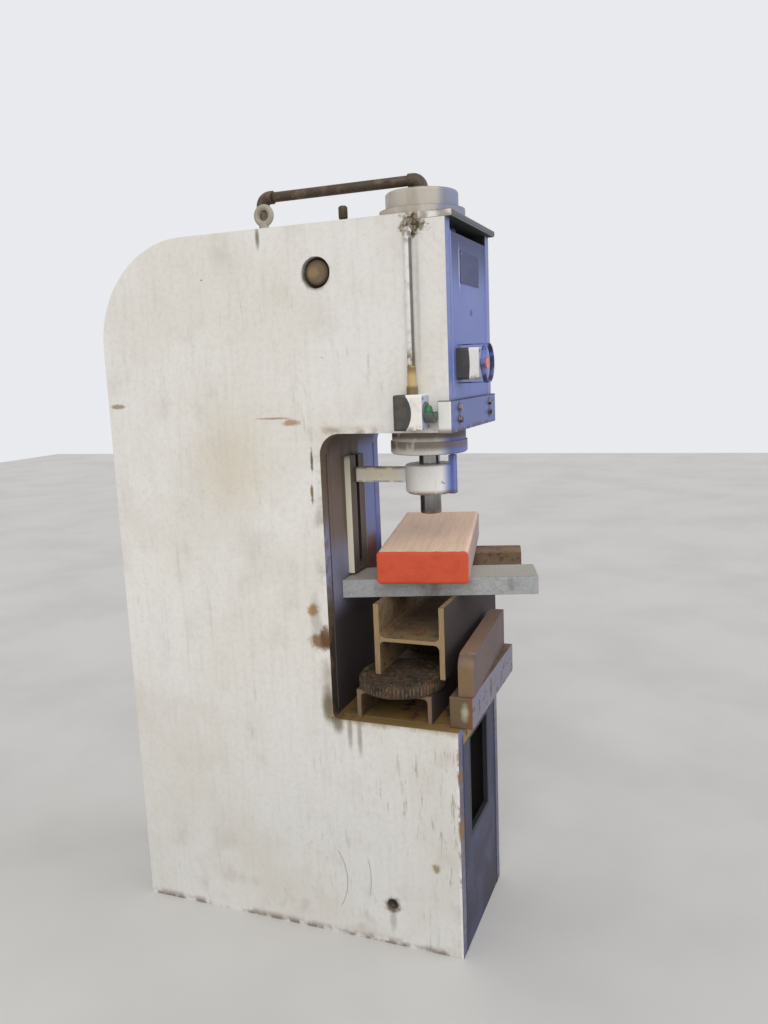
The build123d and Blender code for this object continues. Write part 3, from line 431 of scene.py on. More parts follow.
def rod(bm, start, end, radius, sides):
    """A round bar from start to end, added to the bmesh."""
    start, end = Vector(start), Vector(end)
    along = end - start
    turn = along.to_track_quat("Z", "Y").to_matrix().to_4x4()
    place = Matrix.Translation((start + end) / 2) @ turn
    return bmesh.ops.create_cone(bm, cap_ends=True, segments=sides, radius1=radius, radius2=radius,
                                 depth=along.length, matrix=place)["verts"]


def facing_front(x, y, z):
    """Lays something made flat in XY against a front face at a place."""
    return Matrix.Translation((x, y, z)) @ Euler((math.pi / 2, 0, 0)).to_matrix().to_4x4()


# Settings


def colour_setting(name, description, default):
    return bpy.props.FloatVectorProperty(name=name, description=description, subtype="COLOR", size=4,
                                         min=0, max=1, default=default)


def angle_setting(name, description, degrees):
    return bpy.props.FloatProperty(name=name, description=description, subtype="ANGLE",
                                   default=math.radians(degrees))


def level_setting(name, description, default, high=10):
    return bpy.props.FloatProperty(name=name, description=description, subtype="FACTOR", min=0, max=high,
                                   default=default)


class PressStageSettings(bpy.types.PropertyGroup):
    eye: bpy.props.FloatVectorProperty(name="Camera place", description="Where the camera stands",
                                       subtype="TRANSLATION", unit="LENGTH", default=(-2.384, -0.785, 1.707))
    yaw: angle_setting("Yaw", "Turn of the view from +X towards +Y", 21.42)
    pitch: angle_setting("Pitch", "How far the view tips down", 9.45)
    roll: angle_setting("Roll", "Tilt of the camera about its own axis", -2.27)
    lens: bpy.props.FloatProperty(name="Lens", description="Focal length of the camera",
                                  unit="CAMERA", default=30.15)
    floor: colour_setting("Floor", "Colour of the floor", srgb(212, 210, 206))
    ambient: level_setting("Ambient light", "Light from all round", 0.55)
    key: level_setting("Key light", "Strength of the main soft light", 1.25)
    fill: level_setting("Fill light", "Strength of the soft light from the front", 0.75)


class PressPaintSettings(bpy.types.PropertyGroup):
    paint: colour_setting("Paint", "Off-white paint of the frame", srgb(239, 236, 232))
    # The front colour is painted light: the off-white paint as it looks in bluish daylight, laid on the faces
    # towards the front.
    front: colour_setting("Front paint", "Bluish tone of the faces towards the front", srgb(106, 121, 187))
    wear: level_setting("Wear", "How worn and dirty the paint is", 0.5, 1)
    bead: bpy.props.FloatProperty(name="Weld bead", description="Radius of the weld beads",
                                  unit="LENGTH", default=0.0026)


class PressMetalSettings(bpy.types.PropertyGroup):
    # The chrome colour is set dark: a painted dark reflection of the surroundings.
    chrome: colour_setting("Chrome", "Colour of the ram", srgb(156, 155, 153))
    steel: colour_setting("Steel", "Colour of machined steel", srgb(150, 149, 148))
    # The pipe colour is tan-brown paint darkened with painted shade.
    pipe: colour_setting("Pipe paint", "Tan-brown paint of the pipes", srgb(74, 58, 42))


class PressSupportSettings(bpy.types.PropertyGroup):
    timber: colour_setting("Timber", "Colour of the packing block", srgb(240, 208, 180))
    painted_end: colour_setting("Painted end", "Colour of the block's painted end", srgb(206, 78, 44))
    bar: colour_setting("Bar", "Colour of the pale steel bar", srgb(172, 174, 174))


class PressStationSettings(bpy.types.PropertyGroup):
    start: colour_setting("Start button", "Colour of the start button", srgb(22, 120, 74))
    stop: colour_setting("Stop button", "Colour of the stop button", srgb(222, 84, 52))
    shell: colour_setting("Cover", "Colour of the station covers", srgb(246, 242, 234))
    base: colour_setting("Base", "Colour of the station bases", srgb(66, 66, 64))


class PressOperator:
    bl_options = {"REGISTER", "UNDO"}


# Stage


class PRESS_OT_stage(PressOperator, bpy.types.Operator):
    """Floor, soft lights and the camera"""

    bl_idname = "press.stage"
    bl_label = "Stage"

    def execute(self, context):
        settings = context.scene.press_stage
        scene = context.scene
        scene.view_settings.view_transform = "Standard"
        self.camera(scene, settings)
        self.lights(settings)
        self.room(scene, settings)
        self.floor(settings)
        return {"FINISHED"}

    def camera(self, scene, settings):
        yaw, pitch, roll = settings.yaw, settings.pitch, settings.roll
        look = Vector((math.cos(yaw) * math.cos(pitch), math.sin(yaw) * math.cos(pitch), -math.sin(pitch)))
        right = look.cross(Vector((0, 0, 1))).normalized()
        up = right.cross(look)
        turned = math.cos(roll) * right + math.sin(roll) * up
        upright = -math.sin(roll) * right + math.cos(roll) * up
        camera = bpy.data.cameras.new("camera")
        camera.lens = settings.lens
        camera.sensor_width = 36
        camera.clip_start, camera.clip_end = 0.05, 60
        place = Matrix((turned, upright, -look)).transposed().to_4x4()
        place.translation = settings.eye
        scene.camera = placed("camera", camera)
        scene.camera.matrix_world = place

    def lights(self, settings):
        lamps = (
            ("key_light", settings.key, (-0.75, -0.25, 0.62), (1, 0.985, 0.95)),
            ("fill_light", settings.fill, (0.15, -0.85, 0.35), (0.86, 0.9, 1)),
        )
        for name, strength, source, colour in lamps:
            lamp = bpy.data.lights.new(name, "SUN")
            lamp.energy = strength
            lamp.angle = math.radians(40)
            lamp.color = colour
            placed(name, lamp).rotation_euler = Vector(source).to_track_quat("Z", "Y").to_euler()

    def room(self, scene, settings):
        """An even pale room, brighter where the camera or a glossy surface sees it."""
        scene.world = bpy.data.worlds.new("room")
        scene.world.use_nodes = True
        tree = scene.world.node_tree
        background = tree.nodes["Background"]
        background.inputs["Color"].default_value = (0.96, 0.97, 1, 1)
        path = tree.nodes.new("ShaderNodeLightPath")
        seen = tree.nodes.new("ShaderNodeMath")
        seen.operation = "MAXIMUM"
        tree.links.new(path.outputs["Is Camera Ray"], seen.inputs[0])
        tree.links.new(path.outputs["Is Glossy Ray"], seen.inputs[1])
        level = tree.nodes.new("ShaderNodeMapRange")
        level.inputs[RANGE_TO_LOW].default_value = settings.ambient
        level.inputs[RANGE_TO_HIGH].default_value = 0.85
        tree.links.new(seen.outputs[0], level.inputs[0])
        tree.links.new(level.outputs[0], background.inputs["Strength"])

    def floor(self, settings):
        bm = bmesh.new()
        bmesh.ops.create_grid(bm, x_segments=1, y_segments=1, size=14)
        mesh = bpy.data.meshes.new("floor")
        bm.to_mesh(mesh)
        bm.free()
        finish = Finish("floor", settings.floor, roughness=0.8)
        finish.coats((0.25, (170, 168, 164), clouds(0.35, 0.75, 1.2, 3)))
        mesh.materials.append(finish.done())
        floor = placed("floor", mesh)


# Frame

LEFT_FACE = -0.22
FRONT_PLANE = ramp(Y, -0.1306, -0.1316)
GRAIN = clouds(0.44, 0.66, 13, 5, shift=(2, 0, 7))


def ragged_sill(finish):
    """1 above an uneven line that hangs from the table's edge."""
    hang = finish.maths("MULTIPLY", finish.noise(1, 5, (24, 24, 9), (5, 1, 0), 0.65), 0.05)
    below = finish.maths("ADD", finish.maths("SUBTRACT", finish.axes.outputs[Z], 0.716), hang)
    return finish.step(below, -0.01, 0.016)


# Grease and chips round the throat and along the foot, the same on both side plates
EDGE_WEAR = (
    (0.45, PAINT_GRIME, 0.6, near(Y, 0.25, 0.01, 0.03), between(Z, 0.69, 1.54, 0.02), GRAIN),
    (0.75, (140, 116, 70), 0.6, ragged_sill, ramp(Z, 0.712, 0.702), between(Y, -0.14, 0.27, 0.02)),
    (1, (132, 106, 62), 0.75, -0.1, between(Z, 0.6985, 0.7015, 0.0008), ramp(Y, 0.262, 0.25)),
    (0.75, (140, 112, 62), 0.6, between(Z, 1.53, 1.552, 0.012), between(Y, -0.1, 0.27, 0.03), GRAIN),
    (0.25, DUST, 0.7, ramp(Z, 0.42, 0.05), clouds(0.5, 0.66, 7, 5, shift=(4, 4, 4))),
    (0.55, (120, 117, 90), 0.65, -0.05, ramp(Z, 0.78, 0.55), ramp(Y, 0.48, 0.14),
     clouds(0.36, 0.6, 3, 3, shift=(9, 0, 2)), clouds(0.55, 0.68, 1, 6, (85, 85, 12), (1, 2, 3), 0.7)),
    (0.6, (122, 92, 60), 0.8, -0.2, near(Y, -0.132, 0.003, 0.008), between(Z, 0, 0.69, 0.02),
     clouds(0.52, 0.6, 26, 6, rough=0.65)),
    (0.8, (96, 74, 52), 0.85, -0.2, ramp(Z, 0.03, 0), clouds(0.42, 0.58, 15, 5)),
)


def left_spot(y, z, reach_y, reach_z, *edge):
    return spot((LEFT_FACE, y, z), (1, reach_y, reach_z), *edge)


def scratch(y, z, radius, low, high):
    """A thin curved scratch on the left plate, part of a circle."""

    def line(finish):
        reach = finish.reach((LEFT_FACE, y, z), (0, 1, 1))
        off = finish.maths("ABSOLUTE", finish.maths("SUBTRACT", reach, radius))
        return finish.step(off, 0.0022, 0.0008)

    return 0.45, OIL_BROWN, 0.6, line, between(Z, low, high, 0.01), between(Y, 0.1, 0.3, 0.01)


# Rust on the left plate: Y and Z, how far it reaches along them, colour
RUST_SPOTS = (
    (0.921, 1.625, 0.024, 0.007, (162, 144, 118)),
    (0.334, 1.568, 0.024, 0.009, (182, 144, 116)),
    (0.392, 1.581, 0.048, 0.003, (176, 156, 132)),
    (0.297, 1.026, 0.016, 0.018, (170, 132, 78)),
    (0.276, 0.932, 0.034, 0.024, (132, 92, 50)),
    (0.262, 0.945, 0.018, 0.034, (96, 66, 38)),
    (0.276, 1.462, 0.004, 0.03, (92, 76, 44)),
    (0.28, 1.368, 0.004, 0.026, (120, 96, 54)),
    (0.085, 0.129, 0.024, 0.022, (80, 64, 48)),
    (-0.055, 0.274, 0.011, 0.014, (150, 130, 98)),
    (-0.13, 0.56, 0.003, 0.02, (134, 102, 70)),
    (-0.13, 0.4, 0.004, 0.03, (138, 108, 76)),
)
# Oil stains and drips on the left plate, and a thin darker streak beside the conduit: Y and Z, how far each
# reaches along them, strength
STAINS = (
    (0.198, 0.668, 0.008, 0.052, 0.55),
    (0.168, 0.655, 0.007, 0.05, 0.5),
    (0.406, 2.076, 0.006, 0.026, 0.8),
    (-0.054, 1.9, 0.005, 0.16, 0.2),
    (0.085, 0.085, 0.01, 0.036, 0.35),
    (0.29, 1, 0.016, 0.07, 0.35),
    (0.262, 0.74, 0.02, 0.046, 0.85),
    (0.236, 0.688, 0.016, 0.03, 0.75),
)
CLUMP = left_spot(-0.046, 2.07, 0.034, 0.028, 0.55, 0.35, 62)
LEFT_MARKS = (
    *((0.9, colour, 0.85, -0.2, left_spot(*place, 0.34, 0.45, 75)) for *place, colour in RUST_SPOTS),
    *((share, (98, 80, 44), 0.6, left_spot(*place, 0.22, 0.6, 30)) for *place, share in STAINS),
    (0.24, (206, 184, 132), 0.6, left_spot(0.535, 1.448, 0.1, 0.11, 0.5, 0.8, 9)),
    (0.85, (94, 76, 54), 0.8, -0.1, left_spot(0.236, 1.968, 0.0415, 0.042, 0.1, 0.16, 45)),
    (0.85, (112, 98, 60), 0.85, 0.6, CLUMP),
    (0.9, (56, 46, 28), 0.85, 0.4, CLUMP, clouds(0.46, 0.58, 95, 5, shift=(3, 1, 2))),
    (0.5, (96, 84, 60), 0.8, left_spot(-0.03, 2.01, 0.008, 0.04, 0.45, 0.5, 60)),
    scratch(0.402, 0.183, 0.1725, 0.095, 0.277),
    scratch(0.42, 0.205, 0.268, 0.149, 0.262),
)
# The plates' cut edges round the throat: the left one brown-grey like the liner beside it, with a band of
# painted bluish daylight and painted shadow below the table stack
THROAT_SPAN = (between(Z, 0.703, 1.545, 0.002), between(Y, -0.12, 0.29, 0.003))
LEFT_CUT = (ramp(X, -0.2197, -0.219), *THROAT_SPAN)
LEFT_THROAT = (
    (1, (104, 92, 80), 0.65, *LEFT_CUT),
    # Painted light: a band of bluish daylight on the left cut edge.
    (0.9, (136, 138, 172), 0.55, *LEFT_CUT, between(Z, 1.08, 1.27, 0.05)),
    # Painted shadow: the left cut edge dark below the table stack.
    (1, (54, 42, 33), 0.75, *LEFT_CUT, ramp(Z, 1.07, 0.99)),
    (0.6, (112, 84, 54), 0.8, -0.1, *LEFT_CUT, clouds(0.48, 0.6, 22, 5, shift=(1, 7, 2))),
)
UPPER_THROAT = ramp(Z, 1.14, 1.26)
RAIL_FACE = (ramp(Y, 0.2335, 0.2325), near(X, 0, 0.0535, 0.001))


def side_finish(name, look, seed):
    """Side plate paint: off-white, with painted bluish daylight on the front edge and painted shade there below
    the table.
    """
    return worn_paint(name, look.paint, look.wear, seed, (FRONT_PLANE, look.front)).coats(
        # Painted shade: the front edge dark below the table.
        (0.85, (50, 52, 86), FRONT_PLANE, ramp(Z, 0.71, 0.66)),
        (0.4, (188, 190, 190), ramp(Z, 1.15, 0.1), ramp(Y, -0.128, -0.122)),
        (0.22, (186, 176, 152), 0.6, clouds(0.48, 0.74, 3.2, 4, shift=(seed, 4, 1))),
        (0.26, (190, 182, 164), 0.5, -0.06, clouds(0.4, 0.76, 64, 6, shift=(seed, 2, 9), rough=0.72)),
        (0.12, (184, 178, 162), 0.5, 0.04, clouds(0.46, 0.72, 1, 5, (60, 60, 4), (seed, 8, 3), 0.6)),
    )


class PRESS_OT_frame_paint(PressOperator, bpy.types.Operator):
    """Worn paint on the welded frame, with its stains, runs and rust"""

    bl_idname = "press.frame_paint"
    bl_label = "Frame paint"

    def execute(self, context):
        look = context.scene.press_paint
        left = side_finish("paint_left_side", look, 0)
        left.coats(*EDGE_WEAR, *LEFT_MARKS, *LEFT_THROAT).dress("side_plate_left")
        side_finish("paint_right_side", look, 5.3).coats(
            # Painted light: the cut edge and inner face in the throat bluish, as in daylight.
            (1, look.front, ramp(X, 0.2197, 0.219), *THROAT_SPAN),
            *EDGE_WEAR,
            # Painted shade: the plate's inner face dark inside the base and the head.
            (1, (48, 47, 43), 0.7, ramp(X, 0.1812, 0.1804), either(ramp(Z, 0.66, 0.63), ramp(Z, 1.57, 1.6))),
        ).dress("side_plate_right")
        self.throat(look)
        self.head(look)
        self.table_and_base()
        return {"FINISHED"}

    def throat(self, look):
        """The bent plate in the throat: brown-grey left of the rail, bluish right of it and below as painted
        daylight, with painted shadow under the table stack and painted shade in the rail's slot.
        """
        worn_paint("paint_throat", (130, 132, 158), 0.8, 2.1).coats(
            (0.9, (112, 94, 78), 0.65, UPPER_THROAT, ramp(X, 0.06, 0.05)),
            (0.6, OIL_BROWN, 0.6, UPPER_THROAT, ramp(X, 0.06, 0.05),
             clouds(0.5, 0.66, 1, 4, (30, 30, 1.4))),
            # Painted light: the liner bluish right of the rail, as in daylight.
            (0.75, look.front, 0.5, UPPER_THROAT, ramp(X, 0.052, 0.06)),
            (0.85, (70, 56, 42), 0.6, ramp(Z, 1.46, 1.51)),
            (0.8, RUST_RED, 0.8, spot((0.13, 0.25, 1.11), (0.075, 1, 0.07), 0.4, 0.5, 22)),
            # Painted shadow: the liner dark below the table stack.
            (0.93, (50, 38, 30), 0.7, ramp(Z, 1.07, 0.97)),
            # Painted shade: a dark strip behind the rail's slot.
            (1, (40, 34, 30), 0.8, near(X, 0, 0.011, 0.001), between(Z, 1.06, 1.46, 0.01)),
        ).dress("throat_liner")
        worn_paint("paint_rail", look.paint, 0.6, 3.4).coats(
            (0.95, (74, 59, 49), 0.6, *RAIL_FACE),
            # Painted shade: the slot down the middle of the rail dark.
            (1, (44, 38, 34), 0.6, near(X, 0, 0.0112, 0.0004), ramp(Z, 1.11, 1.13)),
            (0.5, (92, 84, 76), 0.35, *RAIL_FACE, near(X, 0, 0.018, 0.006)),
            (0.5, (214, 204, 164), 0.5, ramp(X, -0.053, -0.0538)),
        ).dress("guide_rail", 1.2)

    def head(self, look):
        streak = every(clouds(0.6, 0.68, 1, 3, (60, 60, 2.5)), spot((-0.172, -0.132, 1.71), (0.016, 1, 0.08)))
        # The head front is painted light: the paint as it looks in bluish daylight.
        worn_paint("paint_head_front", look.front, look.wear, 7.7).coats(
            # Painted shade: darker towards the top, under the top plate's lip.
            (1, (40, 48, 96), 0.5, ramp(Z, 1.9, 2.05)),
            (0.7, (190, 192, 210), 0.5,
             either(spot((-0.099, -0.132, 1.966), (0.006, 1, 0.055), 0.25, 0.4, 45), streak)),
            (1, (70, 74, 104), 0.5, spot((0.011, -0.132, 1.853), (0.012, 1, 0.009), 0.2, 0.4, 90)),
        ).dress("head_front_plate", 0.8)
        bolts = [(x, -0.141, z) for x in (-0.162, 0.162) for z in (1.598, 1.567)]
        shaded = ramp(Y, -0.1396, -0.1406)
        # Painted light: the nose's front face bluish, as in daylight.
        worn_paint("paint_nose", look.paint, 0.6, 4.6, (shaded, (90, 102, 162))).coats(
            (0.75, OIL_BROWN, 0.6, ramp(Z, 1.552, 1.538), clouds(0.38, 0.55, 28, 4)),
            (0.85, BLACK_DIRT, 0.7, near(Z, 1.6205, 0.0018, 0.0025)),
            *((0.7, (64, 60, 66), 0.6, spot(bolt, (0.0165, 1, 0.0165), 0.12, 0.25, 90)) for bolt in bolts),
        ).dress("nose_block", 1.5)
        # Painted shade: the top plate's front face dark grey, and its underside darker still.
        worn_paint("paint_top", look.paint, 0.85, 6.2, (ramp(Y, -0.148, -0.1512), (62, 66, 78))).coats(
            (1, (34, 38, 34), 0.7, ramp(Z, 2.0835, 2.0825)),
            (0.75, (102, 92, 70), 0.75, ramp(Z, 2.097, 2.0995), clouds(0.36, 0.58, 8, 5)),
            (0.7, (126, 114, 86), 0.7, ramp(X, -0.17, -0.2), clouds(0.36, 0.58, 30, 5, shift=(2, 4, 6))),
        ).dress("top_plate")
        plain = worn_paint("paint_frame", look.paint, 0.75, 1.3).coats(
            (0.6, (120, 106, 80), 0.75, ramp(Z, 2.06, 2.09), clouds(0.38, 0.62, 7, 5)),
            (0.5, DUST, 0.75, ramp(Z, 0.3, 0.02)),
        ).dress("head_bottom_plate head_rib", 0.8)
        assign("back_skin", plain)

    def table_and_base(self):
        worn_paint("paint_table", (140, 112, 64), 1, 8.8).coats(
            (0.8, (124, 82, 42), 0.8, -0.1, clouds(0.46, 0.64, 7, 6)),
            (1, (74, 54, 38), 0.85, -0.1, clouds(0.54, 0.64, 24, 6)),
            (0.7, (100, 88, 50), 0.8, between(Y, 0.1, 0.26, 0.04), clouds(0.3, 0.5, 18, 4)),
        ).dress("table_plate", 1)
        # The base front is painted shade: the front's bluish tone made dark, with blotches and dirt over it.
        worn_paint("paint_base_front", (32, 37, 76), 0.6, 9.1).coats(
            (0.6, (38, 38, 52), 0.65, clouds(0.36, 0.66, 5, 5, shift=(6, 2, 0))),
            (0.5, (60, 52, 50), 0.75, ramp(Z, 0.5, 0.05), clouds(0.42, 0.62, 9, 5)),
            (0.8, (36, 34, 40), 0.6, between(X, -0.118, 0.102, 0.004), between(Z, 0.325, 0.655, 0.004)),
        ).dress("base_front_plate", 0.8)
        # Painted shade: the floor plate and rib inside the base kept very dark, under their rust blotches.
        rusty("inner_steel", (48, 43, 39), (62, 52, 44), 5, 0.6, 0.2, 0.15).dress("floor_plate base_rib", 0.8)


class PRESS_OT_weld_beads(PressOperator, bpy.types.Operator):
    """Weld beads along the seams of the frame"""

    bl_idname = "press.weld_beads"
    bl_label = "Weld beads"

    def execute(self, context):
        look = context.scene.press_paint
        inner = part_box("side_plate_right")[0].x
        low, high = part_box("side_plate_left")
        front, rear = low.y, high.y
        sill, table = (corner.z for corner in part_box("table_plate"))
        skin_foot, skin_top = (corner.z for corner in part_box("back_skin"))
        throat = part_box("guide_rail")[1].y
        bend_radius, skin_start = 0.3, 0.3
        across = high.z - MM
        runs = [((-inner, y, z), (inner, y, z)) for y, z in ((skin_start, across), (front, sill))]
        for x in (-inner, inner):
            runs += (
                ((x, front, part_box("nose_block")[1].z + 0.004), (x, front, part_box("head_front_plate")[1].z)),
                ((x, front, 0.004), (x, front, sill)),
                ((x, front, sill), (x, front, table - 0.003)),
                ((x, front + 0.002, table), (x, throat - 0.018, table)),
                ((x, throat, table + 0.018), (x, throat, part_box("throat_liner")[1].z - 0.08)),
                ((x, rear, skin_foot), (x, rear, skin_top - bend_radius)),
                ((x, -0.058, across), (x, skin_start, across)),
            )
        bm = bmesh.new()
        for start, end in runs:
            self.bead(bm, Vector(start), Vector(end), look.bead)
        for x in (-inner, inner):
            self.bend(bm, x, rear - bend_radius, high.z - bend_radius, bend_radius, look.bead)
        finish_mesh("weld_beads", bm, self.material(look))
        return {"FINISHED"}

    def material(self, look):
        facing = ramp(Y, -0.129, -0.131)
        mouth = (between(Z, 0.706, 1.5, 0.002), between(Y, 0.2, 0.3, 0.01))
        # Painted light: the beads on the front bluish, as in daylight.
        painted_light_tint = (facing, mixed(look.paint, look.front, 0.85))
        return worn_paint("paint_welds", look.paint, 0.9, 11, painted_light_tint).coats(
            # Painted shade: the front beads dark below the table.
            (1, (56, 58, 84), facing, ramp(Z, 0.7, 0.66)),
            (1, (112, 90, 54), 0.8, between(Z, 0.694, 0.706, 0.002)),
            (1, (70, 60, 54), 0.7, *mouth),
            # Painted light: the beads in the throat right of the middle bluish, as in daylight.
            (1, look.front, 0.5, *mouth, ramp(X, 0, 0.1)),
        ).relief(0.8, clouds(0.35, 0.65, 1, 1, (240, 240, 240), (3, 1, 2))).done()

    def bead(self, bm, start, end, radius):
        """A slim rounded bead of a slightly changing width along a seam."""
        shortest, spacing = 0.004, 0.009
        length = (end - start).length
        if length < shortest:
            return
        along = (end - start).normalized()
        verts = rod(bm, start, end, radius, 8)
        lengthwise = [edge for edge in edges_of(verts) if abs(direction(edge).dot(along)) > 0.99]
        cuts = max(2, min(90, int(length / spacing)))
        made = bmesh.ops.subdivide_edges(bm, edges=lengthwise, cuts=cuts)
        for vert in unique(item for item in made["geom_inner"] if isinstance(item, bmesh.types.BMVert)):
            at = (vert.co - start).dot(along)
            centre = start + along * at
            swell = 1 + 0.14 * math.sin(at * 690) + 0.1 * math.sin(at * 233 + 1)
            vert.co = centre + (vert.co - centre) * swell

    def bend(self, bm, x, y, z, radius, bead):
        """The bead round the top rear bend."""
        ring = bmesh.ops.create_circle(bm, cap_ends=False, segments=8, radius=bead,
                                       matrix=facing_front(x, y, z + radius))["verts"]
        bmesh.ops.spin(bm, geom=ring + edges_of(ring), cent=(x, y, z), axis=(1, 0, 0), angle=-math.pi / 2,
                       steps=48, use_merge=False)


class PRESS_OT_data_plate(PressOperator, bpy.types.Operator):
    """Blank aluminium plate on the head, held by four rivets"""

    bl_idname = "press.data_plate"
    bl_label = "Blank plate"

    def execute(self, context):
        thickness, corner, rim, pressed, inset = 0.0016, 0.006, 0.005, 0.0004, 0.008
        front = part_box("head_front_plate")[0].y
        low, high = Vector((-0.092, front - thickness, 1.927)), Vector((0.096, front, 2.012))
        bm = bmesh.new()
        corners = [edge for edge in edges_of(block(bm, low, high)) if abs(direction(edge).y) > 0.9]
        bevel_all(bm, corner, 4, corners)
        faces = [face for face in bm.faces if face.normal.y < -0.9]
        bmesh.ops.inset_region(bm, faces=faces, thickness=rim, depth=-pressed)
        # The plate's dark blue is partly painted light: the bluish daylight of the front over a dark plate.
        finish = Finish("plate_metal", (34, 44, 96), 0.45, 0.25).coats(
            (0.25, (78, 88, 138), 0.5, clouds(0.4, 0.7, 1, 3, (6, 6, 420))),
            (0.4, (66, 72, 108), 0.65, clouds(0.5, 0.7, 30, 5)),
        )
        finish_mesh("blank_plate", bm, finish.done())
        bm = bmesh.new()
        for x in (low.x + inset, high.x - inset):
            for z in (low.z + inset, high.z - inset):
                bmesh.ops.create_uvsphere(bm, u_segments=14, v_segments=8, radius=0.0028,
                                          matrix=facing_front(x, low.y, z))
        rivet = Finish("rivet_metal", (150, 152, 162), 0.4, 0.7)
        rivet.coats((1, (84, 82, 86), 0.7, clouds(0.5, 0.7, 120, 3)))
        finish_mesh("plate_rivets", bm, rivet.done())
        return {"FINISHED"}


# Cylinder, ram and lifting gear


class PRESS_OT_cylinder(PressOperator, bpy.types.Operator):
    """Cylinder flange, gland, cap and their screws"""

    bl_idname = "press.cylinder"
    bl_label = "Cylinder"

    def execute(self, context):
        look = context.scene.press_paint
        # Painted light: the front side of the barrel and gland bluish, as in daylight.
        shaded = (ramp(Y, -0.055, -0.09), look.front)
        worn_paint("paint_barrel", look.paint, 0.8, 12, shaded).coats(
            (0.9, (84, 66, 42), 0.5, between(Z, 1.508, 1.54, 0.008), clouds(0.22, 0.42, 30, 5)),
        ).dress("cylinder_barrel", 1)
        worn_paint("paint_gland", look.paint, 0.8, 13, shaded).coats(
            (0.75, (110, 88, 62), 0.5, ramp(Z, 1.47, 1.488), clouds(0.26, 0.5, 1, 4, (36, 36, 12))),
            (0.85, (60, 48, 34), 0.45, ramp(Z, 1.4655, 1.4635), clouds(0.24, 0.46, 24, 5)),
        ).dress("cylinder_gland", 0.8)
        dull = scaled(look.paint, (0.66, 0.62, 0.56))
        # Painted light: the cap's front side bluish, as in daylight.
        worn_paint("paint_cap", dull, 0.85, 14, (ramp(Y, -0.062, -0.088), (132, 138, 168))).coats(
            (0.35, (132, 116, 96), 0.65, clouds(0.42, 0.66, 1, 4, (22, 22, 5))),
            (0.75, (92, 84, 76), 0.7, near(Z, 2.138, 0.001, 0.0016)),
            (0.6, (118, 106, 86), 0.7, ramp(Z, 2.181, 2.1865), clouds(0.34, 0.56, 16, 5)),
            (0.7, (126, 112, 78), 0.65, ramp(Z, 2.132, 2.104), clouds(0.4, 0.6, 1, 4, (30, 30, 6))),
        ).dress("cylinder_cap")
        steel("screw_steel", (62, 60, 60), 0.42, 0.8, 2).dress("gland_screws cap_screws", 0.5)
        bolt = steel("bolt_steel", (150, 146, 136), 0.45, 0.7, 6)
        bolt.coats((1, RUST_DARK, 0.85, -0.1, clouds(0.5, 0.6, 70, 5))).dress("nose_bolts", 0.6)
        rubber = Finish("black_rubber", (34, 33, 33), 0.6)
        rubber.coats((1, (58, 54, 50), 0.75, clouds(0.5, 0.7, 60, 4)))
        rubber.relief(0.05, grainy(260, 2)).dress("rod_wiper piston_seal")
        bare = context.scene.press_metal.steel
        steel("piston_steel", bare, 0.3, 0.9, 1, (1, 1, 8)).dress("piston", 0.5)
        return {"FINISHED"}


class PRESS_OT_ram(PressOperator, bpy.types.Operator):
    """Chromed ram and its painted collar with the guide arm"""

    bl_idname = "press.ram"
    bl_label = "Ram and collar"

    def execute(self, context):
        look = context.scene.press_paint
        Finish("ram_chrome", context.scene.press_metal.chrome, 0.12, 1).coats(
            # Painted reflections: dark vertical streaks down the chrome.
            (0.6, (104, 102, 102), 0.22, clouds(0.5, 0.72, 1, 3, (260, 260, 3))),
            (0.45, (96, 84, 70), 0.3, clouds(0.5, 0.72, 18, 5)),
            # Painted reflection: the chrome darker below the collar, as a dark room mirrored in it.
            (0.6, (74, 66, 62), 0.3, ramp(Z, 1.35, 1.29)),
            (0.8, (150, 116, 92), 0.5, ramp(Z, 1.3, 1.286), clouds(0.3, 0.5, 40, 4)),
        ).dress("ram")
        arm = ramp(Y, 0.05, 0.1)
        rims = either(near(Z, 1.375, 0.002, 0.005), near(Z, 1.418, 0.002, 0.005))
        # Painted light: the collar's front side bluish, as in daylight.
        worn_paint("paint_collar", look.paint, 0.7, 15, (ramp(Y, -0.05, -0.07), look.front)).coats(
            (0.7, (84, 70, 56), 0.7, -0.1, between(Z, 1.36, 1.44, 0.01),
             clouds(0.67, 0.72, 52, 5, shift=(2, 2, 2))),
            (0.8, (104, 78, 50), 0.6, ramp(Z, 1.362, 1.345), clouds(0.3, 0.52, 30, 5)),
            (0.75, (236, 226, 186), 0.6, arm, clouds(0.36, 0.62, 22, 5)),
            (0.6, (112, 92, 58), 0.6, arm, rims, clouds(0.36, 0.56, 40, 5)),
        ).dress("ram_collar", 0.8)
        return {"FINISHED"}


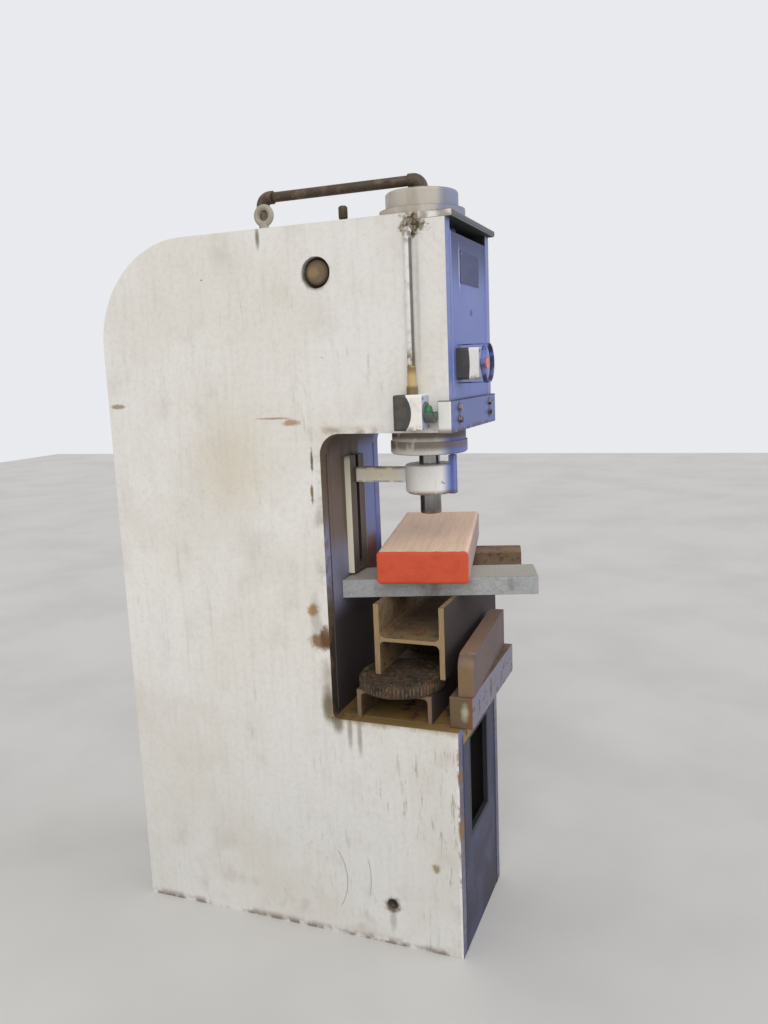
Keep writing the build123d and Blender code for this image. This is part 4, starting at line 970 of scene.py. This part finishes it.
class PRESS_OT_pipes(PressOperator, bpy.types.Operator):
    """Pipe run over the head, breather, conduit and lifting gear"""

    bl_idname = "press.pipes"
    bl_label = "Pipes and lifting gear"

    def execute(self, context):
        look = context.scene.press_paint
        pipe = flat_paint("pipe_paint", context.scene.press_metal.pipe, 0.5, 3, 0.5).coats(
            (1, (62, 54, 34), 0.6, clouds(0.48, 0.62, 9, 5)),
            (1, RUST_DARK, 0.85, -0.15, clouds(0.6, 0.66, 55, 5)),
            (0.7, (112, 94, 66), 0.6, clouds(0.58, 0.66, 20, 3, shift=(3, 0, 0))),
        ).dress("riser_pipe cross_pipe pipe_elbows breather", 0.4)
        self.unions(pipe)
        flat_paint("conduit_paint", look.paint, 0.45, 5, 0.35).coats(
            # Painted shade: a dark line down the conduit's front side.
            (0.85, (66, 60, 58), 0.5, ramp(Y, -0.04, -0.0425), ramp(Z, 2.04, 2.03)),
            (0.8, (88, 78, 48), 0.8, 0.3, ramp(Z, 2.01, 2.045), clouds(0.34, 0.54, 48, 5)),
            (0.8, (108, 88, 52), 0.8, 0.3, ramp(Z, 1.765, 1.735), clouds(0.36, 0.56, 70, 5)),
            (1, (120, 106, 82), 0.8, -0.1, clouds(0.64, 0.7, 42, 5)),
        ).dress("conduit", 0.3)
        flat_paint("gland_brass", (196, 170, 116), 0.5, 6, 0.5).coats(
            (0.8, (116, 96, 58), 0.7, 0.2, ramp(Z, 1.685, 1.705), clouds(0.3, 0.5, 60, 5)),
            (0.75, (84, 70, 50), 0.7, ramp(Z, 1.664, 1.655)),
        ).dress("conduit_gland", 0.3)
        worn_paint("paint_eye", (166, 158, 142), 1, 16).dress("lifting_eye")
        flat_paint("bar_end_bronze", (112, 92, 64), 0.6, 4, 0.5).coats(
            # Painted highlight: a lighter spot on the bar's end.
            (0.7, (150, 126, 88), 0.5, spot((-0.214, 0.244, 1.972), (0.02, 0.016, 0.014), 0.2, 0.5, 60)),
            (0.7, (66, 54, 38), 0.75, around(centre_of("lifting_bar"), (0, 1, 1), 0.022, 0.03)),
            (0.5, BLACK_DIRT, 0.9, ramp(X, -0.2045, -0.1995), ramp(X, 0.2045, 0.1995)),
        ).dress("lifting_bar", 0.8)
        return {"FINISHED"}

    def unions(self, material):
        """Hexagon nuts where the riser leaves the skin and where the pipe meets the cap."""
        riser = centre_of("riser_pipe")
        skin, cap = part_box("back_skin")[1].z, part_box("cylinder_cap")[1].z
        radius, chamfer = 0.029, 0.0022
        bm = bmesh.new()
        for x, y, z, height in ((riser.x, riser.y, skin, 0.02), (0, 0, cap, 0.016)):
            verts = rod(bm, (x, y, z), (x, y, z + height), radius, 6)
            bevel_all(bm, chamfer, 2, edges_of(verts))
        finish_mesh("pipe_nuts", bm, material)


# Push-button stations


class PRESS_OT_stations(PressOperator, bpy.types.Operator):
    """Start and stop stations with their buttons, screws and the stop guard"""

    bl_idname = "press.stations"
    bl_label = "Push-button stations"

    def execute(self, context):
        look = context.scene.press_station
        front = context.scene.press_paint.front
        base = flat_paint("station_grey", look.base, 0.55, 1, 0.35)
        base.relief(0.12, grainy(420, 2)).dress("start_base stop_base", 1)
        for node, seed in (("start_cover", 2), ("stop_cover", 5)):
            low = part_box(node)[0]
            flat_paint("shell_" + node, look.shell, 0.42, seed, 0.3).coats(
                # Painted light: the cover's front face bluish, as in daylight.
                (0.9, mixed(look.shell, front, 0.65), 0.45, ramp(Y, low.y + 0.0012, low.y + 0.0004)),
                (0.6, OIL_BROWN, 0.6, ramp(Z, low.z + 0.02, low.z), clouds(0.4, 0.6, 60, 4)),
            ).dress(node)
        flat_paint("ring_grey", (92, 96, 93), 0.5, 7, 0.3).dress("start_ring", 0.4)
        flat_paint("ring_black", (40, 40, 42), 0.5, 8, 0.3).dress("stop_ring", 0.4)
        for node, colour, seed in (("start_button", look.start, 3), ("stop_button", look.stop, 4)):
            gloss = flat_paint("gloss_" + node, colour, 0.28, seed, 0.18)
            gloss.shader.inputs["Coat Weight"].default_value = 0.25
            gloss.dress(node)
        # Painted light: the guard hoop in the head front's bluish daylight tone.
        guard = flat_paint("guard_paint", front, 0.5, 8, 0.3)
        guard.coats((0.85, (48, 50, 70), 0.7, clouds(0.44, 0.58, 30, 5))).dress("stop_guard", 0.4)
        self.cover_screws()
        return {"FINISHED"}

    def cover_screws(self):
        """Slotted screws in two corners of each station cover."""
        inset, radius, sunk, rise, rim = 0.01, 0.0034, 0.0008, 0.0012, 0.0006
        slot = Vector((0.0026, 0, 0.0004))
        bm = bmesh.new()
        for node in ("start_cover", "stop_cover"):
            low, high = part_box(node)
            for x, z in ((low.x + inset, high.z - inset), (high.x - inset, low.z + inset)):
                verts = rod(bm, (x, low.y + sunk, z), (x, low.y - rise, z), radius, 18)
                faces = unique(face for vert in verts for face in vert.link_faces if face.normal.y < -0.9)
                bmesh.ops.inset_region(bm, faces=faces, thickness=rim, depth=0.0003)
                block(bm, Vector((x, low.y - 0.0014, z)) - slot, Vector((x, low.y - 0.0011, z)) + slot)
        finish = steel("slot_screw_steel", (140, 138, 134), 0.4, 0.8, 9)
        finish_mesh("station_screws", bm, finish.done())


class PRESS_OT_drive_unit(PressOperator, bpy.types.Operator):
    """Oil tank, motor, pump and valve block inside the rear column"""

    bl_idname = "press.drive_unit"
    bl_label = "Drive unit"

    def execute(self, context):
        flat_paint("tank_grey", (112, 116, 116), 0.5, 21, 0.6).coats(
            (0.7, OIL_BROWN, 0.6, ramp(Z, 0.16, 0.03), clouds(0.4, 0.6, 12, 5)),
            (0.7, (70, 60, 46), 0.4, clouds(0.56, 0.68, 1, 4, (24, 24, 1.5))),
        ).dress("oil_tank tank_lid", 1)
        motor = flat_paint("motor_grey", (96, 104, 108), 0.45, 22, 0.5)
        motor.coats((0.7, DUST, 0.8, ramp(Z, 0.56, 0.7), clouds(0.35, 0.6, 14, 5))).dress("motor", 0.6)
        cast = steel("cast_aluminium", (138, 138, 134), 0.5, 0.6, 23)
        cast.relief(0.12, grainy(240, 2)).dress("bell_housing pump", 0.8)
        bare = context.scene.press_metal.steel
        steel("shaft_steel", bare, 0.35, 0.9, 24, (1, 6, 1)).dress("drive_shaft", 0.5)
        valve = steel("valve_steel", (84, 84, 84), 0.45, 0.7, 25)
        coils = around((0, 0, 0), (1, 0, 0), 0.0595, 0.0605)
        valve.coats((1, (38, 38, 38), 0.5, coils)).dress("valve_block", 0.8)
        return {"FINISHED"}


class PRESS_OT_rear_cover(PressOperator, bpy.types.Operator):
    """Rear cover sheet with its pressed louvre hoods and screws"""

    bl_idname = "press.rear_cover"
    bl_label = "Rear cover"

    def execute(self, context):
        sheet = worn_paint("paint_cover", context.scene.press_paint.paint, 0.7, 31)
        sheet.coats((0.6, DUST, 0.75, ramp(Z, 0.3, 0.05), clouds(0.42, 0.62, 9, 5)))
        shared = sheet.dress("rear_cover", 0.4)
        screws = steel("cover_screw_steel", (128, 124, 118), 0.45, 0.7, 32)
        screws.coats((1, RUST_DARK, 0.85, -0.1, clouds(0.5, 0.62, 90, 5))).dress("cover_screws", 0.3)
        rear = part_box("rear_cover")[1].y
        rows, pitch = 8, 0.024
        bm = bmesh.new()
        for column in (-0.078, 0.078):
            for row in range(rows):
                self.hood(bm, column, rear, centre_of("rear_cover").z + (row - (rows - 1) / 2) * pitch, 0.062)
        finish_mesh("louvre_hoods", bm, shared)
        return {"FINISHED"}

    def hood(self, bm, x, y, z, reach):
        """A bulged hood over one slot, open downwards."""
        bulge, height, steps = 0.0072, 0.013, 6
        y, z = y + 0.0002, z - 0.004
        turns = (math.pi / 2 * step / steps for step in range(steps + 1))
        arc = [(x - reach, y + bulge * math.sin(turn), z + height * math.cos(turn)) for turn in turns]
        arc = [bm.verts.new(place) for place in arc]
        edges = [bm.edges.new(pair) for pair in zip(arc, arc[1:])]
        made = bmesh.ops.extrude_edge_only(bm, edges=edges)["geom"]
        moved = [item for item in made if isinstance(item, bmesh.types.BMVert)]
        bmesh.ops.translate(bm, verts=moved, vec=(2 * reach, 0, 0))
        faces = [item for item in made if isinstance(item, bmesh.types.BMFace)]
        ends = unique(edge for face in faces for edge in face.edges if edge.is_boundary)
        for end in (x - reach, x + reach):
            rim = [edge for edge in ends if all(abs(vert.co.x - end) < 1e-6 for vert in edge.verts)]
            centre = bm.verts.new((end, y, z))
            faces += [bm.faces.new((*edge.verts, centre)) for edge in rim]
        bmesh.ops.solidify(bm, geom=faces, thickness=0.0008)


# Work supports


class PRESS_OT_supports(PressOperator, bpy.types.Operator):
    """Channel, bolster discs, beam and bars that lie on the table"""

    bl_idname = "press.supports"
    bl_label = "Work supports"

    def execute(self, context):
        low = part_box("support_channel")[0]
        rusty("channel_rust", (84, 64, 52), (112, 88, 66), 41, dusty=0.35).coats(
            # Painted light: the channel's front face purple-grey, as in bluish daylight.
            (0.8, (70, 60, 68), 0.75, ramp(Y, low.y + 0.003, low.y + 0.001)),
            (0.6, (138, 114, 92), 0.75, ramp(X, low.x + 0.003, low.x + 0.001)),
        ).dress("support_channel", 1.2)
        for node, seed in (("near_disc", 42), ("far_disc", 48)):
            self.disc(node, seed)
        low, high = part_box("support_beam")
        end = ramp(X, low.x + 0.002, low.x + 0.001)
        rusty("beam_rust", (118, 94, 66), (142, 116, 80), 43, metallic=0.1, dusty=0.45).coats(
            # Painted shade: the beam's front face dark.
            (0.95, (48, 38, 42), 0.8, ramp(Y, low.y + 0.001, low.y + 0.0004)),
            # Painted shade: darker between the flanges, further in from the near end.
            (0.6, (52, 40, 30), 0.85, between(Y, low.y + 0.017, high.y - 0.017, 0.001),
             ramp(Z, 0.926, 0.93), ramp(X, low.x + 0.02, low.x + 0.16)),
            (0.8, (170, 144, 104), 0.7, end),
            (0.5, (132, 106, 74), 0.7, 0.3, end, clouds(0.4, 0.62, 1, 2, (1, 320, 30))),
        ).dress("support_beam", 1.2)
        self.cross_bars(context.scene.press_support.bar)
        self.front_bars()
        return {"FINISHED"}

    def disc(self, node, seed):
        """Dark bolster disc with a ridged rim and top edge, and painted highlights on the ridges."""
        low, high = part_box(node)
        middle = (low + high) / 2
        flat = (1, 1, 0)
        # Painted highlight: the ridge crests and the tops of the ribs lighter.
        painted_crest_highlight = either(around(middle, flat, 0.1255, 0.1262), ramp(Z, high.z + 0.0006, high.z + 0.0014))
        material = rusty("rust_" + node, (62, 50, 38), (86, 70, 50), seed, dusty=0.25).coats(
            (0.55, (34, 28, 23), 0.9, -0.8, clouds(0.46, 0.6, 150, 3, shift=(seed, 3, 3))),
            (0.45, (40, 33, 26), 0.9, around(middle, flat, 0.099, 0.103)),
            (0.6, (122, 102, 74), 0.7, painted_crest_highlight, clouds(0.4, 0.6, 60, 4, shift=(1, seed, 6))),
            (0.6, (40, 32, 26), 0.9, -0.4, around(middle, flat, 0.098, 0.094), clouds(0.46, 0.6, 70, 5)),
        ).dress(node, 1.5)
        self.ridges(node, low, high, material)

    def ridges(self, node, low, high, material):
        """Cast ridges round a disc's rim and short ribs round the edge of its top, clear of the beam."""
        middle = (low + high) / 2
        radius, height = (high.x - low.x) / 2, high.z - low.z
        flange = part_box("support_beam")[1].y
        count = 72
        bm = bmesh.new()
        for index in range(count):
            uneven = noise.noise(Vector((index * 0.37, low.x * 5, 0.5)))
            angle = math.tau * (index + 0.25 * uneven) / count
            turn = Matrix.Translation(middle) @ Matrix.Rotation(angle, 4, "Z")
            ridge = ((radius - 0.001, 0, 0), (0.0055 + 0.0012 * uneven, 0.0056, height - 0.013))
            rib = ((radius - 0.0125, 0, height / 2), (0.013, 0.0052, 0.0036 + 0.0012 * uneven))
            clear = not -0.026 < (turn @ Vector(rib[0])).y - flange < 0.01
            for centre, size in (ridge, rib) if clear else (ridge,):
                place = turn @ Matrix.Translation(centre) @ Matrix.Diagonal((*size, 1))
                bevel_all(bm, 0.001, 2, edges_of(bmesh.ops.create_cube(bm, size=1, matrix=place)["verts"]))
        finish_mesh(node + "_ridges", bm, material, 60)

    def cross_bars(self, colour):
        """The two flat bars that lie turned across the beam."""
        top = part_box("near_bar")[1].z
        steel("near_bar_steel", colour, 0.55, 0.2, 37, (1, 0.2, 1)).turned(17).coats(
            (0.85, (172, 165, 152), 0.65, ramp(Z, top - 0.0012, top - 0.0004)),
            (0.45, (132, 130, 124), 0.65, clouds(0.52, 0.72, 8, 6)),
            (0.25, (118, 118, 120), 0.65, -0.1, clouds(0.48, 0.6, 120, 4)),
        ).relief(0.25, grainy(46, 4)).dress("near_bar", 1.6)
        rusty("far_bar_rust", (104, 84, 64), (126, 104, 76), 45, dusty=0.3).turned(13.5).dress("far_bar", 1.6)

    def front_bars(self):
        """The low and the tall bar at the table's front edge."""
        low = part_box("front_bar")[0]
        face = ramp(Y, low.y + 0.002, low.y + 0.0006)
        end = ramp(X, low.x + 0.0016, low.x + 0.0006)
        rusty("front_bar_rust", (86, 72, 60), (110, 92, 70), 46, 0.6, 0.3, 0.2).coats(
            # Painted light: the front face lavender-grey, as in bluish daylight.
            (0.75, (136, 134, 158), 0.5, face),
            (0.8, (108, 88, 72), 0.7, face, clouds(0.54, 0.62, 30, 5, shift=(0, 2, 1))),
            (0.85, (108, 92, 66), 0.65, end),
            # Painted highlight: a pale spot on the near end.
            (0.7, (196, 190, 164), 0.5, end, spot((-0.192, -0.145, 0.748), (1, 0.01, 0.02), 0.4, 0.7, 50)),
            (0.8, (140, 84, 50), 0.8, end, ramp(Y, low.y + 0.016, low.y + 0.008)),
        ).dress("front_bar", 1.4)
        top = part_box("tall_bar")[1].z
        rusty("tall_bar_rust", (92, 74, 66), (120, 96, 84), 47, 0.65, 0.2, 0.25).turned(3.4).coats(
            (0.7, (150, 120, 100), 0.7, ramp(Z, top - 0.004, top - 0.001)),
            (0.7, (136, 110, 80), 0.7, ramp(X, -0.178, -0.186)),
            # Painted light: the front face purplish, as in bluish daylight.
            (0.7, (98, 82, 86), 0.6, ramp(Y, -0.1575, -0.159)),
        ).dress("tall_bar", 1.4)


class PRESS_OT_packing_block(PressOperator, bpy.types.Operator):
    """Sawn timber block under the ram, with its painted end"""

    bl_idname = "press.packing_block"
    bl_label = "Packing block"

    def execute(self, context):
        angle = 12.4
        back, forth = (Matrix.Rotation(math.radians(turn), 3, "Z") for turn in (-angle, angle))
        corners = [back @ vert.co for vert in NODES["packing_block"].data.vertices]
        low, high = (Vector([pick(co[axis] for co in corners) for axis in (X, Y, Z)]) for pick in (min, max))
        bm = bmesh.new()
        block(bm, low, high)
        bevel_all(bm, 0.012, 5, [e for e in bm.edges if abs(e.verts[0].co.x - e.verts[1].co.x) > 0.1])
        bevel_all(bm, 0.003, 2, [e for e in bm.edges if any(
            max(abs(vert.co.x - end.x) for vert in e.verts) < 1e-5 for end in (low, high))])
        for axis, pitch in ((X, 0.009), (Y, 0.009), (Z, 0.01)):
            plane = Vector((0, 0, 0))
            plane[axis] = 1
            count = int((high[axis] - low[axis]) / pitch)
            for index in range(1, count):
                bmesh.ops.bisect_plane(bm, geom=bm.verts[:] + bm.edges[:] + bm.faces[:], dist=1e-6,
                                       plane_co=low.lerp(high, index / count), plane_no=plane)
        for vert in bm.verts:
            self.wear(vert.co, low, high)
        bmesh.ops.rotate(bm, verts=bm.verts, cent=(0, 0, 0), matrix=forth)
        timber = self.wood(context.scene.press_support, angle, low)
        piece = finish_mesh("sawn_block", bm, timber, 50)
        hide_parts("packing_block")
        return {"FINISHED"}

    def wear(self, co, low, high):
        """Pull the edges in by a little, more where two faces meet, and leave saw waves."""
        sides = [min(co[axis] - low[axis], high[axis] - co[axis]) for axis in (X, Y, Z)]
        nearest, second, _ = sorted((X, Y, Z), key=lambda axis: sides[axis])
        skin, edge = 0.004, 0.006
        if sides[nearest] > skin:
            return
        ripple = noise.noise(Vector((co.x * 9, co.y * 26, co.z * 30)))
        fine = noise.noise(Vector((co.x * 40, co.y * 110, co.z * 120)))
        inward = 0.0005 * (0.6 + ripple + 0.5 * fine)
        if sides[second] < edge:
            inward += 0.0011 * max(0, 0.4 + noise.noise(Vector((co.x * 22, co.y * 22, co.z * 22 + 5))))
        middle = (low + high) / 2
        for axis in (nearest, second):
            if sides[axis] < edge:
                co[axis] += inward if co[axis] < middle[axis] else -inward

    def wood(self, look, angle, low):
        finish = Finish("sawn_timber", look.timber, 0.75).turned(angle)
        grain = finish.noise(1, 5, (5, 90, 110), rough=0.6)
        uneven = finish.maths("MULTIPLY", finish.maths("SUBTRACT", finish.noise(46, 5), 0.5), 0.016)
        reach = finish.maths("ADD", finish.axes.outputs[X], uneven)
        paint = finish.step(reach, low.x + 0.0062, low.x + 0.0042)
        finish.coats(
            (0.35, (212, 178, 152), 0.8, finish.step(grain, 0.42, 0.66)),
            (0.15, (176, 144, 124), 0.85, clouds(0.56, 0.7, 1, 4, (2.4, 34, 40), (3, 1, 4))),
            (0.3, (240, 214, 190), 0.75, clouds(0.56, 0.68, 1, 4, (3, 44, 50), (7, 5, 2))),
            (0.14, (150, 124, 108), 0.85, clouds(0.54, 0.76, 7, 5, shift=(1, 1, 8))),
            (0.3, (176, 144, 124), 0.85, ramp(X, low.x + 0.12, low.x + 0.42)),
            # Painted light: the block's front side lilac-grey, as in bluish daylight.
            (0.75, (148, 130, 136), 0.8, ramp(Y, low.y + 0.0045, low.y + 0.0005)),
            (1, look.painted_end, 0.55, 0.15, paint),
            (0.35, (178, 62, 38), 0.7, paint, clouds(0.46, 0.66, 34, 5, shift=(0, 3, 1))),
            (0.4, (120, 60, 44), 0.7, paint, ramp(Z, low.z + 0.01, low.z + 0.001)),
        )
        return finish.relief(0.9, grain).relief(0.25, grainy(1, 3, (30, 260, 300))).done()


class PRESS_PT_dressing(bpy.types.Panel):
    bl_label = "Press dressing"
    bl_idname = "PRESS_PT_dressing"
    bl_space_type = "VIEW_3D"
    bl_region_type = "UI"
    bl_category = "Press"

    def draw(self, context):
        for group in GROUPS:
            settings = getattr(context.scene, group)
            box = self.layout.box()
            for name in settings.__annotations__:
                box.prop(settings, name)
        for operator in OPERATORS:
            self.layout.operator(operator.bl_idname)


GROUPS = {
    "press_stage": PressStageSettings,
    "press_paint": PressPaintSettings,
    "press_metal": PressMetalSettings,
    "press_station": PressStationSettings,
    "press_support": PressSupportSettings,
}
OPERATORS = (
    PRESS_OT_stage,
    PRESS_OT_frame_paint,
    PRESS_OT_weld_beads,
    PRESS_OT_data_plate,
    PRESS_OT_cylinder,
    PRESS_OT_ram,
    PRESS_OT_pipes,
    PRESS_OT_stations,
    PRESS_OT_drive_unit,
    PRESS_OT_rear_cover,
    PRESS_OT_supports,
    PRESS_OT_packing_block,
)


def register():
    for kind in (*GROUPS.values(), *OPERATORS, PRESS_PT_dressing):
        bpy.utils.register_class(kind)
    for name, group in GROUPS.items():
        setattr(bpy.types.Scene, name, bpy.props.PointerProperty(type=group))


def unregister():
    for name in GROUPS:
        delattr(bpy.types.Scene, name)
    for kind in reversed((*GROUPS.values(), *OPERATORS, PRESS_PT_dressing)):
        bpy.utils.unregister_class(kind)


def main():
    register()
    bpy.ops.press.stage()
    bpy.ops.press.frame_paint()
    bpy.ops.press.weld_beads()
    bpy.ops.press.data_plate()
    bpy.ops.press.cylinder()
    bpy.ops.press.ram()
    bpy.ops.press.pipes()
    bpy.ops.press.stations()
    bpy.ops.press.drive_unit()
    bpy.ops.press.rear_cover()
    bpy.ops.press.supports()
    bpy.ops.press.packing_block()
    bare = [name for name, obj in NODES.items() if not obj.data.materials or obj.data.materials[0] is None]
    if bare:
        raise RuntimeError("nodes without a material: " + ", ".join(bare))


if __name__ == "__main__":
    main()
